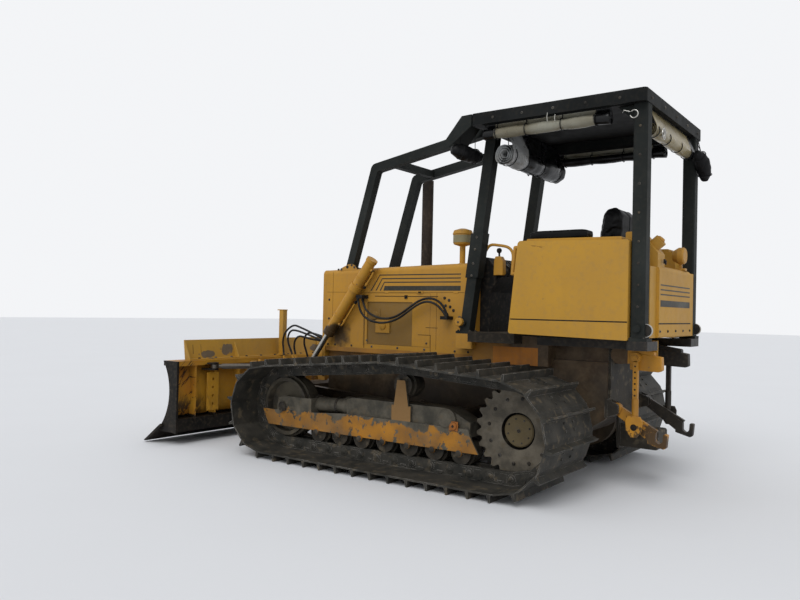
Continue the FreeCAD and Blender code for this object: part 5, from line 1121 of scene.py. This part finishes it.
def make_hood_trim():
    bolts = Pile()
    dark = Pile()
    yellow = Pile()
    side = HOOD_SIDE
    for x0, x1, z0, z1 in ((-440, 1195, 1450, 1452.5), (740, 742, 960, 1450), (-60, -58, 960, 1450),
                           (1120, 1122, 940, 1640)):
        dark.box(x0, x1, side - 0.5, side + 0.8, z0, z1)
    bolts.bolts((-380, -250, 60, 350, 640, 880, 1080, 1170), [side], [955], OUT, 8)
    bolts.bolts([1165], [side], (1020, 1200, 1380), OUT, 8)
    bolts.bolts((40, 700), [side], (1400, 1010), OUT, 7)
    yellow.box(84, 146, side - 1, side + 8, 1442, 1466)
    dark.box(100, 130, side + 7, side + 15, 1448, 1458)
    for x in (-250, 480):
        yellow.box(x - 22, x + 22, side - 1, side + 4, 1444, 1456)
    for pile in (bolts, dark, yellow):
        pile.mirror()
    for x in (-300, 120, 560, 1000):
        bolts.bolts([x], (-160, 160), [hood_top(x)], UP, 9)
    dark.box(-430, 1200, -1.2, 1.2, 1660, 1661)
    bolts.bolts([1243.3], (-365, -190, 0, 190, 365), (690, 930, 1630), AHEAD, 10)
    bolts.bolts((878, 1022), (-330, 330), [hood_top(950) + 14], UP, 9)
    bolts.done("hood_bolts", "bolt_steel")
    dark.done("hood_seams", "black_paint", smooth=False)
    yellow.done("hood_latches", "yellow_paint", bevel=1.5)


def make_canopy_trim():
    bolts = Pile()
    rims = Pile()
    for sy in (-1, 1):
        out = (0, sy, 0)
        bolts.bolts((-1750, -1500, -1250, -1000, -750), [sy * 723], [2800], out, 8)
        for z in (1350, 1500, 1650, 1800, 2000, 2200, 2400, 2600):
            bolts.turned([(9, -0.5), (9, 3), (7, 4)], (-1880, sy * 670, z), out, 10)
        bolts.bolts((-1926, -1834), (sy * 665, sy * 575), [1133], UP, 9)
        bolts.bolts((-455.2, -344.8), (sy * 500, sy * 412), [1133], UP, 9)
        lug = (-1930, sy * 640, 1188)
        bolts.turned([(44, -8), (44, 8)], lug, out, 28)
        rims.ring(43, 47, 9, lug, out)
        for share in (0.29, 0.35, 0.42, 0.48):
            bolts.bolt((-400 - 220 * share, sy * 505, 1110 + 1647 * share), out, 8)
    for x, way in ((-560, AHEAD), (-1935, BACK)):
        bolts.bolts([x], (-600, -300, 0, 300, 600), [2800], way, 8)
    bolts.done("canopy_bolts", "bolt_steel")
    rims.done("lug_rims", "pale_steel")


def make_rear_trim():
    bolts = Pile()
    dark = Pile()
    yellow = Pile()
    bolts.bolts([-1950], (-390, -200, 0, 200, 390), [1180], BACK, 8)
    dark.box(-1958, -1949, 296, 330, 1668, 1700)
    dark.prism([(-1958, 300, 1690), (-1958, 326, 1690), (-1958, 318, 1660), (-1958, 308, 1660)], (-8, 0, 0))
    yellow.turned([(30, -2), (30, 8), (22, 16), (8, 18)], (-1928.5, 330, 1843), (-0.64, 0, 0.77), 20)
    bolts.done("tank_bolts", "bolt_steel")
    dark.done("tank_latch", "black_paint", bevel=1.5)
    yellow.done("tank_cap_grip", "yellow_paint")


def make_hitch_trim():
    """Cast tails of the lift arms, the plate over the left one, the lift links' bars and forks, and black
    discs of painted shade over the bores in the bars.
    """
    tails = Pile()
    plate = Pile()
    bars = Pile()
    hole_shades = Pile()
    tails.plate([(-1732, 1032), (-1850, 1012), (-1962, 996), (-1966, 900), (-1940, 888),
                 (-1738, 896)], 318, 65)
    plate.box(-1914, -1818, 296, 310, 1000, 1112)
    bars.box(-1808, -1772, 389, 425, 640, 965)
    bars.plate([(-1836, 566), (-1744, 566), (-1728, 530), (-1734, 462), (-1768, 414), (-1812, 414),
                (-1846, 462), (-1852, 530)], 424, 14)
    # Painted shade: flat black discs on the link bars where their bores are.
    for k in range(7):
        hole_shades.turned([(7, -0.5), (7, 0.6)], (-1790, 425, 672 + 42 * k), OUT, 14)
    hole_shades.turned([(24, -0.5), (24, 0.8)], (-1790, 438, 486), OUT, 20)
    for pile in (tails, bars, hole_shades):
        pile.mirror()
    tails.done("hitch_arm_tails", "hitch_paint", body="hitch_arms", bevel=6)
    plate.done("tank_plate", "yellow_clean", bevel=2)
    bars.done("lift_link_bars", "hitch_paint", body="lift_links", bevel=3)
    hole_shades.done("lift_link_hole_shades", "black_paint", body="lift_links", smooth=False)


def make_blade_trim():
    bolts = Pile()
    mast = Pile()
    bolts.bolts([2395], range(-1300, 1301, 200), [113], (0.77, 0, 0.64), 14, washer=False)
    bolts.bolts([2180], range(-1100, 1101, 200), [787.6], UP)
    mast.bolts((2127, 2202), (-38, 38), [797.6], UP, 6, washer=False)
    bolts.done("blade_bolts", "bolt_steel", body="blade")
    mast.done("mast_bolts", "bolt_steel", body="blade")


make_hood_trim()
make_canopy_trim()
make_rear_trim()
make_hitch_trim()
make_blade_trim()

# Lift cylinders: pipes, clamps and port elbows

LIFT_ROOT = Vector((790.0, 462.0, 1490.0))
LIFT_WAY = Vector((690.0, 0.0, -930.0)).normalized()
LIFT_BEHIND = Vector((LIFT_WAY.z, 0.0, -LIFT_WAY.x))


def on_barrel(distance, off):
    return LIFT_ROOT + LIFT_WAY * (distance - 320) + LIFT_BEHIND * off


def make_cylinder_trim():
    pipe = Pile()
    black = Pile()
    for run in (((705, 72), (697, 80), (680, 84), (560, 84), (440, 84)),
                ((86, 72), (94, 80), (112, 84), (180, 84), (240, 82))):
        pipe.tube([on_barrel(*at) for at in run], 8, 10)
    for distance in (640, 215):
        pipe.ring(50.5, 53.5, 8, on_barrel(distance, 0), LIFT_WAY)
        pipe.turned([(13, -10), (13, 10)], on_barrel(distance, 84), LIFT_WAY, 12)
    for distance in (86, 705):
        black.turned([(17, 0), (17, 14), (14, 16)], on_barrel(distance, 60), LIFT_BEHIND, 6)
    for distance, way in ((440, -1), (240, 1)):
        black.turned([(12, 0), (12, 26), (9, 28)], on_barrel(distance, 84), LIFT_WAY * way, 6)
    pipe.mirror()
    black.mirror()
    pipe.done("lift_pipes", "yellow_paint", body="lift_barrels")
    black.done("lift_ports", "black_paint", body="lift_barrels")


make_cylinder_trim()

# Operator's place: dials, lever boots, rail


def make_dials():
    rim = Pile()
    face = Pile()
    mark = Pile()
    across = Vector(OUT)
    way = Vector((-110, 0, 100)).normalized()
    for y, radius in ((-170, 44), (-50, 44), (70, 44), (180, 30)):
        centre = Vector((-550.3, y, 1700)) + way * 7
        front = centre + way * 2
        rim.turned([(radius, -1), (radius, 4), (radius - 4, 5), (radius - 6, 1.5)], centre, way, 28)
        face.turned([(radius - 5, 0.5), (radius - 5, 2)], centre, way, 28)
        for degrees in range(-120, 121, 30):
            angle = math.radians(degrees)
            ray = across * math.sin(angle) + way.cross(across) * math.cos(angle)
            wide = way.cross(ray) * 1.2
            a = front + ray * (radius - 14)
            b = front + ray * (radius - 8)
            mark.prism([a - wide, a + wide, b + wide, b - wide], way * 0.6)
        ray = across * math.sin(0.5) + way.cross(across) * math.cos(0.5)
        wide = way.cross(ray) * 1.4
        mark.prism([front - wide, front + wide, front + ray * (radius - 16)], way * 1.2)
    rim.done("dial_rims", "bolt_steel")
    face.done("dial_faces", "dial_face")
    mark.done("dial_marks", "dial_mark", smooth=False)


def make_boots():
    boots = Pile()
    fold = [(wide - 2 * k, 3 * k + rise) for k in range(7) for wide, rise in ((24, 0), (20, 1.5))]
    for y in (265, 305, -270):
        boots.turned(fold, (-600.6, y, 1595), BACK, 18)
    boots.done("lever_boots", "hose_rubber")


make_dials()
make_boots()

# Brackets, rails and seams that the photograph shows


def smooth_path(points):
    """Points of a smooth line through the given ones, in millimetres."""
    points = [Vector(p) for p in points]
    steps = 6
    path = []
    for i in range(len(points) - 1):
        before = points[max(i - 1, 0)]
        a = points[i]
        b = points[i + 1]
        after = points[min(i + 2, len(points) - 1)]
        for k in range(steps):
            t = k / steps
            path.append(0.5 * (2 * a + (b - before) * t + (2 * before - 5 * a + 4 * b - after) * t * t
                               + (3 * a - before - 3 * b + after) * t ** 3))
    return path + [points[-1]]


def make_sweep_feet():
    """Arched plate beside each leg's foot, with a bore shown by a black disc of painted shade, and its bolts.
    """
    plate = Pile()
    bolts = Pile()
    hole_shade = Pile()
    plate.plate([(1058, 1652), (1040, 1676), (1000, 1694), (950, 1712), (905, 1718), (868, 1700), (850, 1676),
                 (840, 1652)], 377, 9)
    # Painted shade: flat black disc on the plate where its bore is.
    hole_shade.turned([(15, 8.5), (15, 9.8)], (958, 377, 1689), OUT, 20)
    for x, y, z in ((1078, 370, 1666), (1030, 386, 1668), (872, 386, 1686), (905, 386, 1706)):
        bolts.bolt((x, y, z), OUT, 9)
    for pile in (plate, bolts, hole_shade):
        pile.mirror()
    plate.done("sweep_foot_plates", "yellow_paint", bevel=2)
    bolts.done("sweep_foot_bolts", "bolt_steel")
    hole_shade.done("sweep_foot_hole_shades", "black_paint", smooth=False)


def make_side_details():
    """Pivot bosses at the front posts' feet, the side panel's knob plate and seams."""
    yellow = Pile()
    dark = Pile()
    bolts = Pile()
    yellow.turned([(36, 0), (36, 26), (31, 31)], (-372, 519, 1206), OUT)
    bolts.bolt((-372, 549, 1206), OUT, 9, washer=False)
    for x, z in ((-330, 1238), (-340, 1172)):
        bolts.bolt((x, 460, z), OUT, 13)
    yellow.box(440, 600, 394.6, 399, 1085, 1200)
    yellow.turned([(34, 0), (34, 8), (20, 13), (0.5, 14)], (516, 399, 1148), OUT)
    for x, z in ((-139, 1405), (-184, 1386), (-150, 1340), (-196, 1330), (-230, 1300)):
        bolts.bolt((x, HOOD_SIDE, z), OUT, 10)
    for x0, x1, z0, z1 in ((728, 734, 940, 1290), (-75, 50, 1144, 1148), (-4, 130, 1079, 1083),
                           (-4, 0, 925, 1081), (-72, 614, 1413, 1419)):
        dark.box(x0, x1, 394.8, 396, z0, z1)
    dark.box(250, 278, HOOD_SIDE, 404, 1396, 1426)
    for pile in (yellow, dark, bolts):
        pile.mirror()
    for y in (-700.9, 699.8):
        dark.box(-1820, -925, y, y + 1.1, 1239, 1248)
    dark.box(-1950.9, -1949.8, -414, 414, 1231, 1240)
    yellow.done("side_bosses", "yellow_paint", bevel=1.5)
    dark.done("side_seams", "black_paint", smooth=False)
    bolts.done("side_bolts", "bolt_steel")


def make_console_rail():
    """Tube loop beside the controls, and a short lever on its base."""
    rail = Pile()
    base = Pile()
    knob = Pile()
    loop = ((-500, 1597), (-503, 1690), (-521, 1777), (-568, 1840), (-650, 1838), (-735, 1818), (-776, 1770),
            (-778, 1690), (-772, 1597))
    rail.tube(smooth_path([(x, 392, z) for x, z in loop]), 12, 12)
    base.plate([(-585, 1597), (-672, 1597), (-668, 1715), (-645, 1752), (-600, 1752), (-588, 1715)], 300, 60)
    knob.tube([(-622, 330, 1748), (-620, 330, 1790)], 8, 10)
    knob.turned([(10, 0), (19, 8), (22, 22), (18, 36), (8, 42)], (-620, 330, 1780), UP, 20)
    rail.done("console_rail", "yellow_paint")
    base.done("console_lever_base", "yellow_paint", bevel=4)
    knob.done("console_lever", "black_paint")


def make_visors():
    """Cheek plates between the roof's front corners and the risers."""
    pile = Pile()
    pile.plate([(-560, 2849), (-470, 2846), (-318, 2668), (-352, 2606), (-560, 2756)], 712, 10)
    pile.plate([(-560.3, 2849), (-470, 2846), (-318, 2668), (-322, 2660), (-474, 2838),
                (-560.3, 2841)], 392, 321)
    pile.mirror()
    pile.done("roof_cheeks", "canopy_paint", bevel=1.5)


def across_path(points, i):
    """Two directions across a path at its point i, the second one upward."""
    way = (points[min(i + 1, len(points) - 1)] - points[max(i - 1, 0)]).normalized()
    side = way.cross(Vector(UP)).normalized()
    return side, side.cross(way)


def make_bag(name, path, radii, cap, seed):
    """Stuffed cloth bag along a path: lumpy, swelled, with drawn-in ends."""
    middle = [Vector(p) for p in path]
    count = len(middle)
    sides = 20
    points = []
    for i, (here, radius) in enumerate(zip(middle, radii)):
        side, up = across_path(middle, i)
        for a, b in circle(1.0, sides):
            lump = 1 + 0.22 * noise.noise(Vector((i * 0.5 + seed, a, b)))
            points.append(here + (side * a + up * b) * radius * lump)
    pile = Pile()
    pile.add(points, ring_faces(count, sides))
    bag = pile.done(name, "dark_cloth", body=None)
    swell(bag, 0.009, cap)
    for v in bag.data.vertices:
        fold = noise.noise(v.co * 16 + Vector((seed, 0, 0))) * 0.006 + noise.noise(v.co * 48) * 0.0022
        v.co += v.normal * fold
    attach(bag, "chassis")
    straps = Pile()
    for i in (count // 4, count - 1 - count // 4):
        here = middle[i]
        side, up = across_path(middle, i)
        hoop = [here + side * a + up * b for a, b in circle(radii[i] + 5, 24)]
        straps.tube(hoop + hoop[:1], 3.5)
        straps.tube([here + up * (radii[i] + 3), (max(here.x, -1931), here.y, ROOF_UNDER)], 3.0)
    straps.done(name + "_straps", "dark_cloth")


def make_bags():
    make_bag("front_flap_bag", [(-372, 705, 2588), (-390, 680, 2588), (-412, 640, 2584), (-430, 590, 2578),
                                (-448, 540, 2570), (-462, 490, 2566), (-470, 440, 2564), (-472, 412, 2562)],
             (30, 50, 56, 60, 60, 56, 48, 28), 0.012, 3.0)
    make_bag("rear_flap_bag", [(-1960, -470, 2612), (-1972, -515, 2590), (-1984, -565, 2550),
                               (-1990, -605, 2505), (-1990, -635, 2458), (-1986, -655, 2415)],
             (30, 50, 58, 60, 48, 24), 0.012, 8.0)


def make_hooks():
    """Steel rings and white ties under the roof's left edge, and a coil behind the seat."""
    metal = Pile()
    white = Pile()
    metal.tube([(-1853 + a, 727, 2672 + b) for a, b in circle(27, 24)[3:]], 4.5, 10)
    metal.tube([(-1826, 727, 2690), (-1780, 726, 2706), (-1760, 700, 2700)], 3.5)
    coil = []
    for k in range(70):
        angle = 2 * math.pi * k / 24
        radius = 44 - 0.42 * k
        coil.append((-1952 + 0.1 * k, 372 + radius * math.cos(angle), 2592 + radius * math.sin(angle)))
    metal.tube(coil, 4.0)
    for x, z0, z1 in ((-1210, 2770, 2706), (-1271, 2748, 2700)):
        white.tube([(x, 726, z0), (x + 3, 729, (z0 + z1) / 2), (x + 2, 722, z1)], 3.0)
    metal.done("curtain_hooks", "chrome")
    white.done("curtain_ties", "tie_cord")


make_sweep_feet()
make_side_details()
make_console_rail()
make_visors()
make_bags()
make_hooks()
